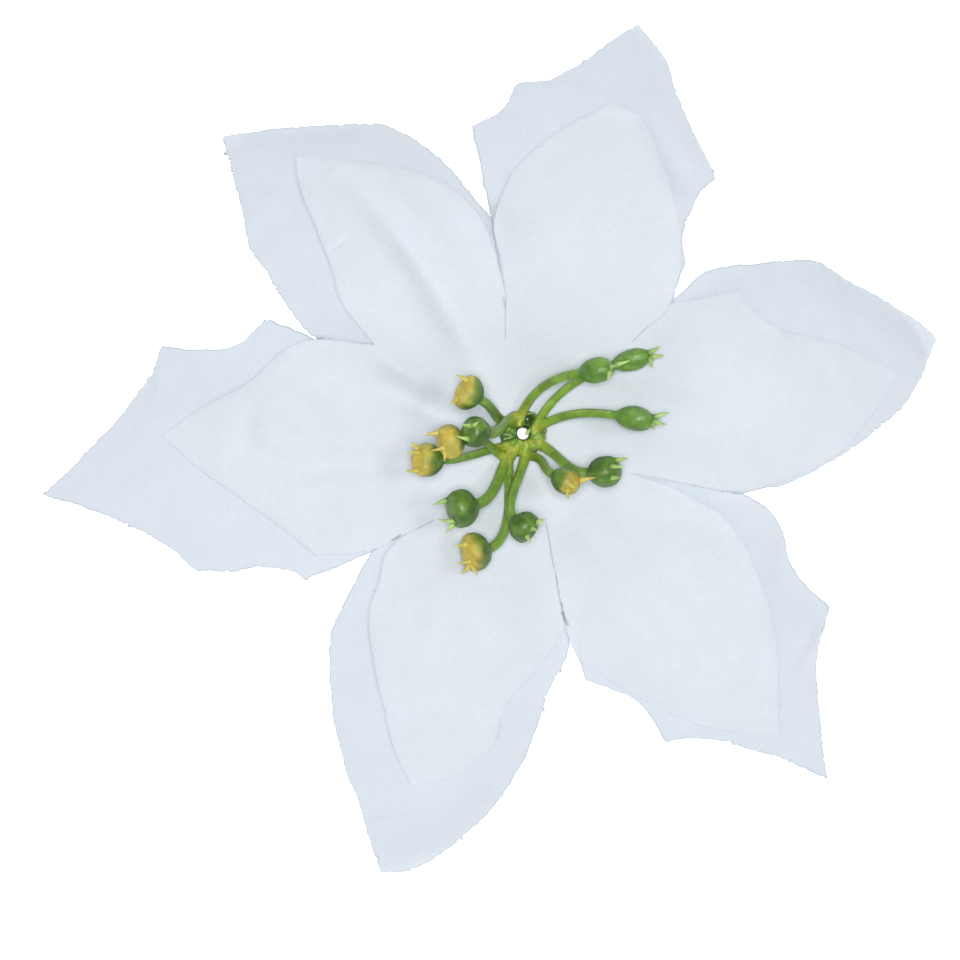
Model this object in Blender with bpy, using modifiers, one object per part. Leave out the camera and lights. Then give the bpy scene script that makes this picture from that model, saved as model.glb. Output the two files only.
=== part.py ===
"""Artificial poinsettia flower head.

Two die-cut rosettes of stiffened white cloth lie one on the other. The hollow hub of a green
plastic stamen spray passes down through their centre holes, and a green calyx collar, pushed on
to the hub's tube from below, clamps them. The head rests on the collar's flat foot and, just
clear of the surface, the tips of the outer lobes.

Frame: metres, +Z up. The origin is on the surface the head rests on, under the middle of the
outer rosette's outline. The hub's axis stands beside it, at hub_axis().
Plan outlines are in millimetres from the hub's axis, +X to the right and +Y away.
"""

import math

import bmesh
import bpy
import numpy as np
from mathutils import Vector

MM = 0.001

# Cloth
CLOTH_THICKNESS = 0.5 * MM
LAYER_GAP = 0.35 * MM
CENTRE_HOLE_RADIUS = 2.6 * MM
SLIT_HALF_WIDTH = 0.45 * MM
STATIONS_ALONG_LOBE = 14
COLUMNS_ACROSS_LOBE = 6
RING_SHARES = (0, 0.24, 0.6)
SAMPLES_PER_SPAN = 12

# Form of the cloth: it rises from the flat seat at the hub to a crest, then arches down to the tips
SEAT_HEIGHT = 11.0 * MM
SEAT_RADIUS = 7.0 * MM
CREST_AT_SHARE_OF_LENGTH = 0.42
TIP_HEIGHT = 0.7 * MM
FALL_EXPONENT = 1.8
EDGE_DROP = 4.5 * MM
EDGE_DROP_STARTS = 12.0 * MM
EDGE_DROP_FULL = 47.0 * MM
INNER_TIP_LIFT = 2.0 * MM
INNER_TIP_RADIUS = 85.0 * MM

# Stamen spray
HUB_RADIUS = 5.2 * MM
HUB_TOP = 17.0 * MM
HUB_RIM_BEVEL = 0.7 * MM
TUBE_RADIUS = 2.2 * MM
TUBE_BOTTOM = 1.0 * MM
STEM_HOLE_RADIUS = 1.35 * MM
ARM_RADIUS = 1.15 * MM
ARM_START_HEIGHT = 15.8 * MM
ARM_START_RISE = 35
ARM_SUNK_IN_BERRY = 0.9 * MM
ARM_LEAD_SHARE = 1 / 3
TRUNK_OVERLAP = 0.3 * MM
KNUCKLE_RADIUS = 1.35 * MM
BERRY_RADIUS = 3.9 * MM
BERRY_HALF_LENGTH = 4.6 * MM
SPIKE_RADIUS = 0.55 * MM
SPIKE_TIP_RADIUS = 0.12 * MM
SPIKE_LENGTH = 4.6 * MM
SPIKE_SPREAD = math.radians(38)
SPIKE_ROOT_SHARE = 0.8
SPIKES_PER_BERRY = 3
FIRST_SPIKE_TURN = 0.25
TURN_STEPS = 24

# Calyx collar
COLLAR_FOOT_RADIUS = 5.5 * MM
COLLAR_FLANGE_RADIUS = 8.0 * MM
COLLAR_FLANGE_DEPTH = 1.2 * MM
COLLAR_CLEARANCE = 0.3 * MM

# Slits between neighbouring lobes: where the cut ends near the hub and where the lobes part
OUTER_SLITS = {
    "right-top": [(16.5, 14.5), (33.5, 29.5)],
    "top-upper_left": [(-4, 21.5), (-8.5, 48.5)],
    "upper_left-left": [(-19.5, 10.5), (-45, 20.5)],
    "left-lower": [(-17, -14), (-34, -26.5)],
    "lower-lower_right": [(5, -19.5), (10, -43.5)],
    "lower_right-right": [(20.5, -7), (49.5, -13.5)],
}

# Each lobe: the crest's height in mm, its tip, and the free part of its clockwise and
# counter-clockwise edges, from the slit to the tip. A point given twice is a sharp corner.
OUTER_LOBES = {
    "right": {
        "crest": 22,
        "tip": (93, 21),
        "clockwise": [(60, -11), (73.5, -3.5), (86, 7)],
        "counter": [(42, 36.5), (56.5, 38.5), (66, 38.5), (76, 33), (90, 24.5)],
    },
    "top": {
        "crest": 20,
        "tip": (26, 92),
        "clockwise": [(36.5, 38.5), (36.5, 38.5), (36, 44.5), (39.5, 53.5), (43, 57.5),
                      (43, 57.5), (41, 62.5), (35, 75), (32, 84)],
        "counter": [(-9, 57), (-11.5, 69), (-11.5, 69), (-5, 72.5), (-1, 78.5), (-1, 78.5),
                    (8.5, 80.5), (17.5, 86.5)],
    },
    "upper_left": {
        "crest": 21,
        "tip": (-67.5, 66.5),
        "clockwise": [(-18.5, 61.5), (-29, 68.5), (-37.5, 69.5), (-54.5, 68.5)],
        "counter": [(-50, 24.5), (-56.5, 34.5), (-61.5, 42), (-61.5, 42), (-63.5, 52.5)],
    },
    "left": {
        "crest": 17,
        "tip": (-108, -13.5),
        "clockwise": [(-58, 26), (-58, 26), (-62.5, 21), (-68, 19), (-74.5, 19), (-81, 19.5),
                      (-81, 19.5), (-85, 11), (-99.5, -6)],
        "counter": [(-43.5, -30.5), (-49, -33), (-49, -33), (-52, -31), (-59, -30), (-65.5, -31),
                    (-73.5, -30.5), (-73.5, -30.5), (-81.5, -24), (-95, -18)],
    },
    "lower": {
        "crest": 18,
        "tip": (-32, -98.5),
        "clockwise": [(-42, -42), (-43.5, -48.5), (-42, -66.5), (-35, -88.5), (-35, -88.5)],
        "counter": [(10, -49.5), (6, -57.5), (1.5, -70), (-5, -82), (-14, -91), (-24, -97.5)],
    },
    "lower_right": {
        "crest": 18,
        "tip": (68.5, -77.5),
        "clockwise": [(14, -55.5), (14, -55.5), (20, -57.5), (26.5, -61), (32, -69), (32, -69),
                      (37.5, -68.5), (44.5, -69), (58, -73)],
        "counter": [(54.5, -16.5), (58, -21.5), (59.5, -28.5), (62.5, -33), (69, -39), (69, -39),
                    (66, -51), (67.5, -71)],
    },
}

INNER_SLITS = {
    "right-top": [(24.5, 20.5)],
    "top-upper_left": [(-4, 21), (-4, 31.5)],
    "upper_left-left": [(-18.5, 10), (-33.5, 20)],
    "left-lower": [(-20, -19.5)],
    "lower-lower_right": [(5, -19.5), (9.5, -43.5)],
    "lower_right-right": [(24.5, -9)],
}

INNER_LOBES = {
    "right": {
        "tip": (84.5, 13.5),
        "clockwise": [(40, -12), (48.5, -13), (60, -10), (73, -2.5)],
        "counter": [(36, 29), (48.5, 32), (48.5, 32), (52, 27.5), (59, 23), (71, 20)],
    },
    "top": {
        "tip": (20.5, 74.5),
        "clockwise": [(33, 29.5), (35.5, 39), (34.5, 52), (27, 71.5)],
        "counter": [(-6.5, 49.5), (-4.5, 55), (2.5, 63), (10.5, 71)],
    },
    "upper_left": {
        "tip": (-51, 62.5),
        "clockwise": [(-8.5, 46.5), (-16.5, 55.5), (-29.5, 60)],
        "counter": [(-40.5, 29), (-43, 37), (-46, 45), (-46, 45), (-50, 55)],
    },
    "left": {
        "tip": (-81, -0.5),
        "clockwise": [(-50, 20.5), (-62.5, 11), (-72, 6)],
        "counter": [(-33.5, -26), (-46.5, -27.5), (-46.5, -27.5), (-54, -21.5), (-72, -8.5)],
    },
    "lower": {
        "tip": (-25, -79),
        "clockwise": [(-29.5, -25), (-32.5, -33.5), (-34.5, -44.5), (-29.5, -69)],
        "counter": [(4, -52), (-3.5, -60.5), (-6.5, -70), (-6.5, -70), (-15.5, -77)],
    },
    "lower_right": {
        "tip": (57.5, -68),
        "clockwise": [(13, -51), (26.5, -59.5), (41, -66)],
        "counter": [(34, -12.5), (44.5, -18), (44.5, -18), (50.5, -26.5), (56.5, -44.5)],
    },
}

# Where the spray's arms fork, in mm from the hub's axis
FORKS = {
    "lower_left": (-3.3, -5.8),
    "top": (-0.3, 3.6),
    "right": (2.8, 1.3),
    "bottom": (0.6, -4.6),
    "lower_right": (3.6, -2.4),
    "left": (-3.4, 0.9),
}

# Each arm: its fork and the plan heading in degrees it leaves it with, then its berry: centre in
# mm (height above the surface last), heading and rise in degrees of the axis its spikes are on
ARMS = {
    "1": ("left", 140, (-12, 8.5, 37.5), 167, 50),
    "2": ("lower_left", 150, (-16, -2, 37), 203, 35),
    "3": ("top", 205, (-10.5, 0, 39), 175, 55),
    "4": ("left", 196, (-21, -6, 34), 166, 50),
    "5": ("lower_left", 225, (-13.5, -16.5, 34.5), 207, 35),
    "6": ("lower_left", 270, (-10.5, -26, 29), 211, 42),
    "7": ("bottom", 263, (0, -20.5, 35), 342, 54),
    "8": ("bottom", 345, (9, -10.5, 38), 335, 40),
    "9": ("lower_right", 325, (17.5, -8.5, 35), 8, 48),
    "10": ("right", 25, (24.5, 3, 31), 350, 15),
    "11": ("right", 55, (24, 16, 26.5), 5, 15),
    "12": ("top", 75, (16, 13.5, 34), 2, 35),
}


def hub_axis():
    """Plan position of the hub's axis: it puts the middle of the outer outline at the origin."""
    tips = np.array([lobe["tip"] for lobe in OUTER_LOBES.values()]) * MM
    middle = (tips.min(axis=0) + tips.max(axis=0)) / 2
    return Vector((-middle[0], -middle[1], 0))


def stretches(points):
    """An outline cut at its sharp corners, which are the points given twice."""
    pieces = [[points[0]]]
    for before, point in zip(points, points[1:]):
        if point == before:
            pieces.append([point])
        else:
            pieces[-1].append(point)
    return pieces


def curve_through(points, count):
    """count + 1 points, evenly spaced, on a Catmull-Rom curve through the given points."""
    knots = np.array(points, float)
    ends = [2 * knots[0] - knots[1], 2 * knots[-1] - knots[-2]]
    knots = np.vstack([ends[0], knots, ends[1]])
    t = np.linspace(0, 1, SAMPLES_PER_SPAN, endpoint=False)[:, None]
    dense = []
    for a, b, c, d in zip(knots, knots[1:], knots[2:], knots[3:]):
        dense.append(0.5 * (2 * b + (c - a) * t + (2 * a - 5 * b + 4 * c - d) * t**2
                            + (3 * b - 3 * c + d - a) * t**3))
    dense = np.vstack(dense + [knots[-2:-1]])
    run = np.append(0, np.cumsum(np.linalg.norm(np.diff(dense, axis=0), axis=1)))
    at = np.linspace(0, run[-1], count + 1)
    return np.column_stack([np.interp(at, run, dense[:, axis]) for axis in (0, 1)])


def edge_points(points, count):
    """count + 1 points along an edge, with every sharp corner kept as one of them.

    The stretches between corners share the points by length, with at least one step each.
    """
    pieces = stretches(points)
    lengths = [np.linalg.norm(np.diff(np.array(piece), axis=0), axis=1).sum() for piece in pieces]
    marks = np.round(np.append(0, np.cumsum(lengths)) / sum(lengths) * count).astype(int)
    for i in range(1, len(marks)):
        marks[i] = max(marks[i], marks[i - 1] + 1)
    marks[-1] = count
    for i in range(len(marks) - 2, 0, -1):
        marks[i] = min(marks[i], marks[i + 1] - 1)
    edge = [np.array(points[:1], float)]
    for piece, first, last in zip(pieces, marks, marks[1:]):
        edge.append(curve_through(piece, last - first)[1:])
    return np.vstack(edge) * MM


def polar(points, near):
    """Radius and angle of plan points, with the angle within half a turn of near."""
    radius = np.hypot(points[:, 0], points[:, 1])
    angle = np.arctan2(points[:, 1], points[:, 0])
    return radius, near + (angle - near + math.pi) % (2 * math.pi) - math.pi


def smooth_step(x):
    x = np.clip(x, 0, 1)
    return x * x * (3 - 2 * x)


def cloth_height(radius, angle):
    """Height of the outer rosette's middle surface.

    Along a lobe it follows a rise to the crest and a fall to the tip. Between two lobes the
    crest and the length blend from one lobe's to the next one's, and the cloth drops by
    EDGE_DROP towards the slit.
    """
    tips = np.array([lobe["tip"] for lobe in OUTER_LOBES.values()]) * MM
    crests = np.array([lobe["crest"] for lobe in OUTER_LOBES.values()]) * MM
    lengths = np.hypot(tips[:, 0], tips[:, 1])
    headings = np.arctan2(tips[:, 1], tips[:, 0]) % (2 * math.pi)
    order = np.argsort(headings)
    around = np.append(headings[order], headings[order[0]] + 2 * math.pi)
    angle = around[0] + (angle - around[0]) % (2 * math.pi)
    lobe = np.clip(np.searchsorted(around, angle, side="right") - 1, 0, len(order) - 1)
    share = (angle - around[lobe]) / (around[lobe + 1] - around[lobe])
    this, following = order[lobe], order[(lobe + 1) % len(order)]
    blend = smooth_step(share)
    crest = crests[this] * (1 - blend) + crests[following] * blend
    length = lengths[this] * (1 - blend) + lengths[following] * blend
    crest_radius = CREST_AT_SHARE_OF_LENGTH * length
    rise = SEAT_HEIGHT + (crest - SEAT_HEIGHT) * smooth_step(
        (radius - SEAT_RADIUS) / (crest_radius - SEAT_RADIUS))
    past = np.clip((radius - crest_radius) / (length - crest_radius), 0, None)
    fall = (crest - TIP_HEIGHT) * past**FALL_EXPONENT
    drop = EDGE_DROP * (1 - np.cos(2 * math.pi * share)) / 2
    drop = drop * smooth_step((radius - EDGE_DROP_STARTS) / (EDGE_DROP_FULL - EDGE_DROP_STARTS))
    return rise - fall - drop


def inner_height(radius, angle):
    """The inner rosette lies on the outer one and lifts a little towards its tips."""
    lift = INNER_TIP_LIFT * (radius / INNER_TIP_RADIUS) ** 2
    return cloth_height(radius, angle) + CLOTH_THICKNESS + LAYER_GAP + lift


def lobe_grid(lobe, slit_before, slit_after):
    """Radius and angle of a lobe's points: stations from its root to its tip, columns across it."""
    heading = math.atan2(lobe["tip"][1], lobe["tip"][0])
    sides = []
    for slit, edge, turn in ((slit_before, "clockwise", 1), (slit_after, "counter", -1)):
        root = slit if len(slit) == 1 else slit + slit[-1:]
        points = edge_points(root + lobe[edge] + [lobe["tip"]], STATIONS_ALONG_LOBE)
        radius, angle = polar(points, heading)
        narrowing = 1 - np.linspace(0, 1, STATIONS_ALONG_LOBE + 1) ** 2
        sides.append((radius, angle + turn * narrowing * SLIT_HALF_WIDTH / radius))
    across = np.linspace(0, 1, COLUMNS_ACROSS_LOBE + 1)
    (radius_a, angle_a), (radius_b, angle_b) = sides
    return (np.outer(radius_a, 1 - across) + np.outer(radius_b, across),
            np.outer(angle_a, 1 - across) + np.outer(angle_b, across))


def rosette(name, lobes, slits, height, material):
    """A six-lobed cloth sheet: an open surface lofted over its lobes, given its thickness."""
    mesh = bmesh.new()

    def vertex(radius, angle):
        plan = (radius * math.cos(angle), radius * math.sin(angle))
        return mesh.verts.new((*plan, float(height(np.array(radius), np.array(angle)))))

    names = list(lobes)
    root_loop = []
    for i, lobe_name in enumerate(names):
        before = slits[f"{names[i - 1]}-{lobe_name}"]
        after = slits[f"{lobe_name}-{names[(i + 1) % len(names)]}"]
        radius, angle = lobe_grid(lobes[lobe_name], before, after)
        rows = [[vertex(r, a) for r, a in zip(*row)] for row in zip(radius[:-1], angle[:-1])]
        for low, high in zip(rows, rows[1:]):
            for j in range(COLUMNS_ACROSS_LOBE):
                mesh.faces.new((low[j], high[j], high[j + 1], low[j + 1]))
        tip = vertex(radius[-1, 0], angle[-1, 0])
        for j in range(COLUMNS_ACROSS_LOBE):
            mesh.faces.new((rows[-1][j], tip, rows[-1][j + 1]))
        root_loop += list(zip(rows[0], radius[0], angle[0]))

    outer = [point for point, _, _ in root_loop]
    for share in reversed(RING_SHARES):
        inner = [vertex(CENTRE_HOLE_RADIUS + (r - CENTRE_HOLE_RADIUS) * share, a)
                 for _, r, a in root_loop]
        for j in range(len(outer)):
            k = (j + 1) % len(outer)
            mesh.faces.new((inner[j], outer[j], outer[k], inner[k]))
        outer = inner

    data = bpy.data.meshes.new(name)
    mesh.to_mesh(data)
    mesh.free()
    sheet = bpy.data.objects.new(name, data)
    thickness = sheet.modifiers.new("cloth thickness", "SOLIDIFY")
    thickness.thickness = CLOTH_THICKNESS
    thickness.offset = 0
    data.materials.append(material)
    return sheet


def turned(name, profile):
    """A turned piece with a hole along its axis, from a closed profile of (radius, height)."""
    data = bpy.data.meshes.new(name)
    points = [(radius, 0, height) for radius, height in profile]
    edges = [(i, (i + 1) % len(points)) for i in range(len(points))]
    data.from_pydata(points, edges, [])
    piece = bpy.data.objects.new(name, data)
    screw = piece.modifiers.new("turn", "SCREW")
    screw.steps = TURN_STEPS
    screw.render_steps = TURN_STEPS
    screw.use_merge_vertices = True
    screw.merge_threshold = 0.00001
    return piece


def heading_vector(heading, rise):
    """Unit vector with a plan heading and a rise above level, both in degrees."""
    heading, rise = math.radians(heading), math.radians(rise)
    return Vector((math.cos(heading) * math.cos(rise), math.sin(heading) * math.cos(rise),
                   math.sin(rise)))


def closed_mesh_object(name, build):
    data = bpy.data.meshes.new(name)
    mesh = bmesh.new()
    build(mesh)
    mesh.to_mesh(data)
    mesh.free()
    return bpy.data.objects.new(name, data)


def rod(name, start, start_lead, end, end_lead, collection):
    """A round arm along a Bezier curve, made a mesh with its caps welded on."""
    curve = bpy.data.curves.new(name, "CURVE")
    curve.dimensions = "3D"
    curve.resolution_u = 6
    curve.bevel_depth = ARM_RADIUS
    curve.bevel_resolution = 2
    curve.use_fill_caps = True
    spline = curve.splines.new("BEZIER")
    spline.bezier_points.add(1)
    for knot, place, lead in zip(spline.bezier_points, (start, end), (start_lead, end_lead)):
        knot.co = place
        knot.handle_left_type = "FREE"
        knot.handle_right_type = "FREE"
        knot.handle_left = place - lead
        knot.handle_right = place + lead
    guide = bpy.data.objects.new(f"{name} curve", curve)
    collection.objects.link(guide)
    bpy.context.view_layer.update()
    data = bpy.data.meshes.new_from_object(guide.evaluated_get(bpy.context.evaluated_depsgraph_get()))
    mesh = bmesh.new()
    mesh.from_mesh(data)
    bmesh.ops.remove_doubles(mesh, verts=mesh.verts, dist=0.00001)
    mesh.to_mesh(data)
    mesh.free()
    bpy.data.objects.remove(guide)
    arm = bpy.data.objects.new(name, data)
    collection.objects.link(arm)
    return arm


def knuckle(name, centre, collection):
    """The small ball where arms fork."""
    def ball(mesh):
        bmesh.ops.create_uvsphere(mesh, u_segments=12, v_segments=7, radius=KNUCKLE_RADIUS)

    body = closed_mesh_object(name, ball)
    body.location = centre
    collection.objects.link(body)


def berry(name, centre, axis, collection):
    """An egg-shaped berry with its long axis along the given one, and spikes around its tip."""
    pointing = axis.to_track_quat("Z", "X")

    def egg(mesh):
        bmesh.ops.create_uvsphere(mesh, u_segments=10, v_segments=7, radius=1)
        for vert in mesh.verts:
            vert.co = Vector((vert.co.x * BERRY_RADIUS, vert.co.y * BERRY_RADIUS,
                              vert.co.z * BERRY_HALF_LENGTH))

    body = closed_mesh_object(name, egg)
    body.location = centre
    body.rotation_mode = "QUATERNION"
    body.rotation_quaternion = pointing
    collection.objects.link(body)

    for turn in range(SPIKES_PER_BERRY):
        around = 2 * math.pi * (turn + FIRST_SPIKE_TURN) / SPIKES_PER_BERRY
        lean = Vector((math.cos(around) * math.sin(SPIKE_SPREAD),
                       math.sin(around) * math.sin(SPIKE_SPREAD), math.cos(SPIKE_SPREAD)))
        root = Vector((lean.x * BERRY_RADIUS, lean.y * BERRY_RADIUS,
                       lean.z * BERRY_HALF_LENGTH)) * SPIKE_ROOT_SHARE

        def cone(mesh):
            bmesh.ops.create_cone(mesh, cap_ends=True, segments=5, radius1=SPIKE_RADIUS,
                                  radius2=SPIKE_TIP_RADIUS, depth=SPIKE_LENGTH)
            bmesh.ops.translate(mesh, verts=mesh.verts, vec=(0, 0, SPIKE_LENGTH / 2))

        spike = closed_mesh_object(f"{name} spike {turn + 1}", cone)
        spike.location = centre + pointing @ root
        spike.rotation_mode = "QUATERNION"
        spike.rotation_quaternion = (pointing @ lean).to_track_quat("Z", "X")
        collection.objects.link(spike)


def stamen_spray(cutters, material):
    """The hub and its tube, joined with the arms, berries and spikes into one moulding."""
    seat = inner_height(np.array(0.0), np.array(0.0)) + CLOTH_THICKNESS / 2 + LAYER_GAP
    hub = turned("stamen_spray", [
        (TUBE_RADIUS, float(seat)), (TUBE_RADIUS, TUBE_BOTTOM), (STEM_HOLE_RADIUS, TUBE_BOTTOM),
        (STEM_HOLE_RADIUS, HUB_TOP), (HUB_RADIUS - HUB_RIM_BEVEL, HUB_TOP),
        (HUB_RADIUS, HUB_TOP - HUB_RIM_BEVEL), (HUB_RADIUS, float(seat))][::-1])
    height = Vector((0, 0, ARM_START_HEIGHT))
    forks = {name: Vector((x, y, 0)) * MM + height for name, (x, y) in FORKS.items()}
    for name, fork in forks.items():
        knuckle(f"knuckle {name}", fork, cutters)
        outward = Vector((fork.x, fork.y, 0)).normalized()
        root = outward * (STEM_HOLE_RADIUS + ARM_RADIUS + TRUNK_OVERLAP) + height
        if (fork - root).length > ARM_RADIUS:
            rod(f"trunk {name}", root, outward * MM, fork + outward * TRUNK_OVERLAP,
                outward * MM, cutters)
    for name, (fork, heading, centre, tip_heading, tip_rise) in ARMS.items():
        axis = heading_vector(tip_heading, tip_rise)
        middle = Vector(centre) * MM
        start = forks[fork]
        end = middle - axis * (BERRY_HALF_LENGTH - ARM_SUNK_IN_BERRY)
        lead = (end - start).length * ARM_LEAD_SHARE
        rod(f"arm {name}", start, heading_vector(heading, ARM_START_RISE) * lead, end,
            axis * lead, cutters)
        berry(f"berry {name}", middle, axis, cutters)
    union = hub.modifiers.new("one moulding", "BOOLEAN")
    union.operation = "UNION"
    union.solver = "EXACT"
    union.operand_type = "COLLECTION"
    union.collection = cutters
    hub.data.materials.append(material)
    return hub


def calyx_collar(material):
    """The collar that clamps the cloth from below, with a flat foot and a hole for the tube."""
    top = SEAT_HEIGHT - CLOTH_THICKNESS / 2 - LAYER_GAP
    bore = TUBE_RADIUS + COLLAR_CLEARANCE
    collar = turned("calyx_collar", [
        (COLLAR_FLANGE_RADIUS, top), (COLLAR_FLANGE_RADIUS, top - COLLAR_FLANGE_DEPTH),
        (COLLAR_FOOT_RADIUS, top / 2), (COLLAR_FOOT_RADIUS, 0), (bore, 0), (bore, top)])
    collar.data.materials.append(material)
    return collar


def plain_material(name, colour, roughness):
    material = bpy.data.materials.new(name)
    material.use_nodes = True
    shader = material.node_tree.nodes["Principled BSDF"]
    shader.inputs["Base Color"].default_value = (*colour, 1)
    shader.inputs["Roughness"].default_value = roughness
    shader.inputs["Metallic"].default_value = 0
    return material


def main():
    for old in list(bpy.data.objects):
        bpy.data.objects.remove(old)
    head = bpy.data.collections.new("artificial poinsettia flower head")
    cutters = bpy.data.collections.new("joined into the spray")
    for collection in (head, cutters):
        bpy.context.scene.collection.children.link(collection)

    outer_cloth = plain_material("white polyester cloth, outer", (0.72, 0.78, 0.86), 0.85)
    inner_cloth = plain_material("white polyester cloth, inner", (0.76, 0.82, 0.89), 0.85)
    spray_green = plain_material("green polyethylene, spray", (0.09, 0.25, 0.05), 0.4)
    collar_green = plain_material("green polyethylene, collar", (0.06, 0.18, 0.04), 0.45)

    pieces = [
        rosette("outer_bract_sheet", OUTER_LOBES, OUTER_SLITS, cloth_height, outer_cloth),
        rosette("inner_bract_sheet", INNER_LOBES, INNER_SLITS, inner_height, inner_cloth),
        stamen_spray(cutters, spray_green),
        calyx_collar(collar_green),
    ]
    axis = bpy.data.objects.new("hub axis", None)
    axis.location = hub_axis()
    head.objects.link(axis)
    for piece in pieces:
        head.objects.link(piece)
        piece.parent = axis
    for cutter in cutters.objects:
        cutter.parent = axis
        cutter.hide_render = True
        cutter.display_type = "WIRE"
    for piece in pieces:
        piece.data.shade_smooth()
    bpy.context.view_layer.update()


main()
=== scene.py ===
"""Artificial poinsettia head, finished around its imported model.

The head lies face up on a pale board: two die-cut rosettes of white polyester cloth, a green
moulded spray of stamens in the middle and, underneath, the green collar that clamps the cloth.

Lengths are in millimetres in the tables and in metres in the properties and the meshes. Plan
points are measured from the hub's axis, +X to the right and +Y away. Those of the cloth are given
as the camera sees them at table height: a point that lies higher is drawn in towards the axis by
its share of the camera's height, so that it still appears about where the table says.
"""

import math

import bpy
import numpy as np
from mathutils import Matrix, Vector


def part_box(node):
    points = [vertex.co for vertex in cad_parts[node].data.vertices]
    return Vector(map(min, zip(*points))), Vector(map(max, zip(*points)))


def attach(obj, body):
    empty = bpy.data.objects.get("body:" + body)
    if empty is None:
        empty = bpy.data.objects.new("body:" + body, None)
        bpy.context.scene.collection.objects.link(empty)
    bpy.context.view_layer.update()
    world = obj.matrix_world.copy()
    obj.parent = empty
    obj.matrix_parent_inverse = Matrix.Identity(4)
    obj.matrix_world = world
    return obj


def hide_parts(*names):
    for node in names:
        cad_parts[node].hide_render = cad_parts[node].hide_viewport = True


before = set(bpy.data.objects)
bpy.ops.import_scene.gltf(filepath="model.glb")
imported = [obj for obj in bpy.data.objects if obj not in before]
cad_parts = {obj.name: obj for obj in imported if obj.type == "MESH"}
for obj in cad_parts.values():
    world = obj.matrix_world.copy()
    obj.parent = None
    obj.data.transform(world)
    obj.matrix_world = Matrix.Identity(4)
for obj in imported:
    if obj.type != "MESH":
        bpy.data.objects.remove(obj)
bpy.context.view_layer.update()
COLLAR_LOW, COLLAR_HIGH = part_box("calyx_collar")

bl_info = {
    "name": "Artificial Poinsettia Head",
    "version": (1, 0, 0),
    "blender": (4, 5, 0),
    "location": "3D View > Sidebar > Poinsettia",
    "description": "Builds a white cloth poinsettia head around a green moulded stamen spray",
    "category": "Add Mesh",
}

MM = 0.001

# The collar stands on the hub's axis
AXIS = np.array([(COLLAR_LOW[0] + COLLAR_HIGH[0]) / 2, (COLLAR_LOW[1] + COLLAR_HIGH[1]) / 2, 0.0])

# Photograph: the hub's hole and the frame's side in pixels, and the scale at the table. The
# sensor's width only sets the lens that goes with them.
HUB_PIXEL = (522.5, 434.0)
FRAME_PIXELS = 960
PIXEL_MM = 0.2247
SENSOR_MM = 36.0

# The board's height in metres: it lies 0.02 mm under the surface that the head rests on, so that
# it never cuts the collar's foot
BOARD_HEIGHT = -0.00002
# The light from all sides has the faint cool cast that the photograph has
ROOM_COLOUR = "F7FAFF"

# Form of the cloth, as in the model it is built around. The softness is how gently a surface
# eases on to the lowest height that it may have.
SEAT_HEIGHT = 11.0
SEAT_RADIUS = 7.0
CREST_AT_SHARE_OF_LENGTH = 0.42
TIP_HEIGHT = 0.7
FALL_EXPONENT = 1.8
EDGE_DROP = 4.5
EDGE_DROP_STARTS = 12.0
EDGE_DROP_FULL = 47.0
LOWEST_CLOTH = 0.45
LOWEST_SOFTNESS = 1.0
LAYER_STEP = 0.36
LAYER_SOFTNESS = 0.12
INNER_TIP_LIFT = 0.3
INNER_TIP_RADIUS = 85.0
INNER_CREASES_START = 9.0
INNER_CREASES_FULL = 17.0
RIPPLE_HEIGHT = 0.05
RIPPLE_LENGTH = 11
RIPPLES_START = 8.0
RIPPLES_FULL = 28.0
HOLE_RADIUS = 2.5

# Grid of each rosette: steps along a lobe's edge and across the lobe, rings round the hole, and
# the points worked out on each span of a curve before they are spaced evenly
STATIONS = 176
COLUMNS = 40
RINGS = 14
SAMPLES_PER_SPAN = 24
SHARP_ANGLE = math.radians(50)

# Cut edges: how far in the roughness reaches, the share of the steps with a nick or a burr, the
# steps over which it sets in, and how much of it the inner sheet has
ROUGH_REACH = 1.2
BURR_SHARE = 0.08
ROUGH_SETS_IN = 20
INNER_ROUGHNESS = 0.45
# The share of the painted shade colour at the cut of the outer and the inner sheet
OUTER_EDGE_SHADE = 0.75
INNER_EDGE_SHADE = 0.12
# Within this distance of the cut the cloth is painted towards the cut's shade colour
EDGE_SHADE_REACH = 0.36
# The rings round the hole count as this far from any cut edge
FAR_FROM_CUT = 20.0
# Loose fibres: the share of the density that each sheet gets, and the steps of the edge next to
# the hub that stay free. A fibre is drawn 0.14 mm across, some ten times a real one, so it shows.
OUTER_FIBRES = 1.0
INNER_FIBRES = 0.12
FIBRE_FREE_STEPS = 12
FIBRE_RADIUS = 0.07
FIBRE_STATIONS = 4
FIBRE_SIDES = 4
FIBRE_LENGTHS = (0.15, 1.6)
FIBRE_TURN = 0.6
FIBRE_BEND = 0.35
FIBRE_LOWEST = 0.2
# Seeds of the random draws: the cut edges and the fibres of the outer and the inner sheet
OUTER_EDGE_SEED, INNER_EDGE_SEED = 7, 23
OUTER_FIBRE_SEED, INNER_FIBRE_SEED = 31, 37

# Slits between neighbouring lobes: where each cut ends near the hub and where the lobes part. One
# point alone is the place where two lobes part without a cut further in.
OUTER_SLITS = {
    "right-top": [(16.5, 14.5), (33.5, 29.5)],
    "top-upper_left": [(-4, 21.5), (-7, 48)],
    "upper_left-left": [(-19.5, 10.5), (-45, 20.5)],
    "left-lower": [(-17, -14), (-34, -26.5)],
    "lower-lower_right": [(5, -19.5), (10, -43.5)],
    "lower_right-right": [(20.5, -7), (49.5, -13.5)],
}
INNER_SLITS = {
    "right-top": [(24.5, 20.5), (33, 29.1)],
    "top-upper_left": [(-4, 21), (-4, 31.5)],
    "upper_left-left": [(-33.5, 20)],
    "left-lower": [(-20, -19.5)],
    "lower-lower_right": [(5, -19.5), (9.5, -43.5)],
    "lower_right-right": [(24.5, -9)],
}

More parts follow.
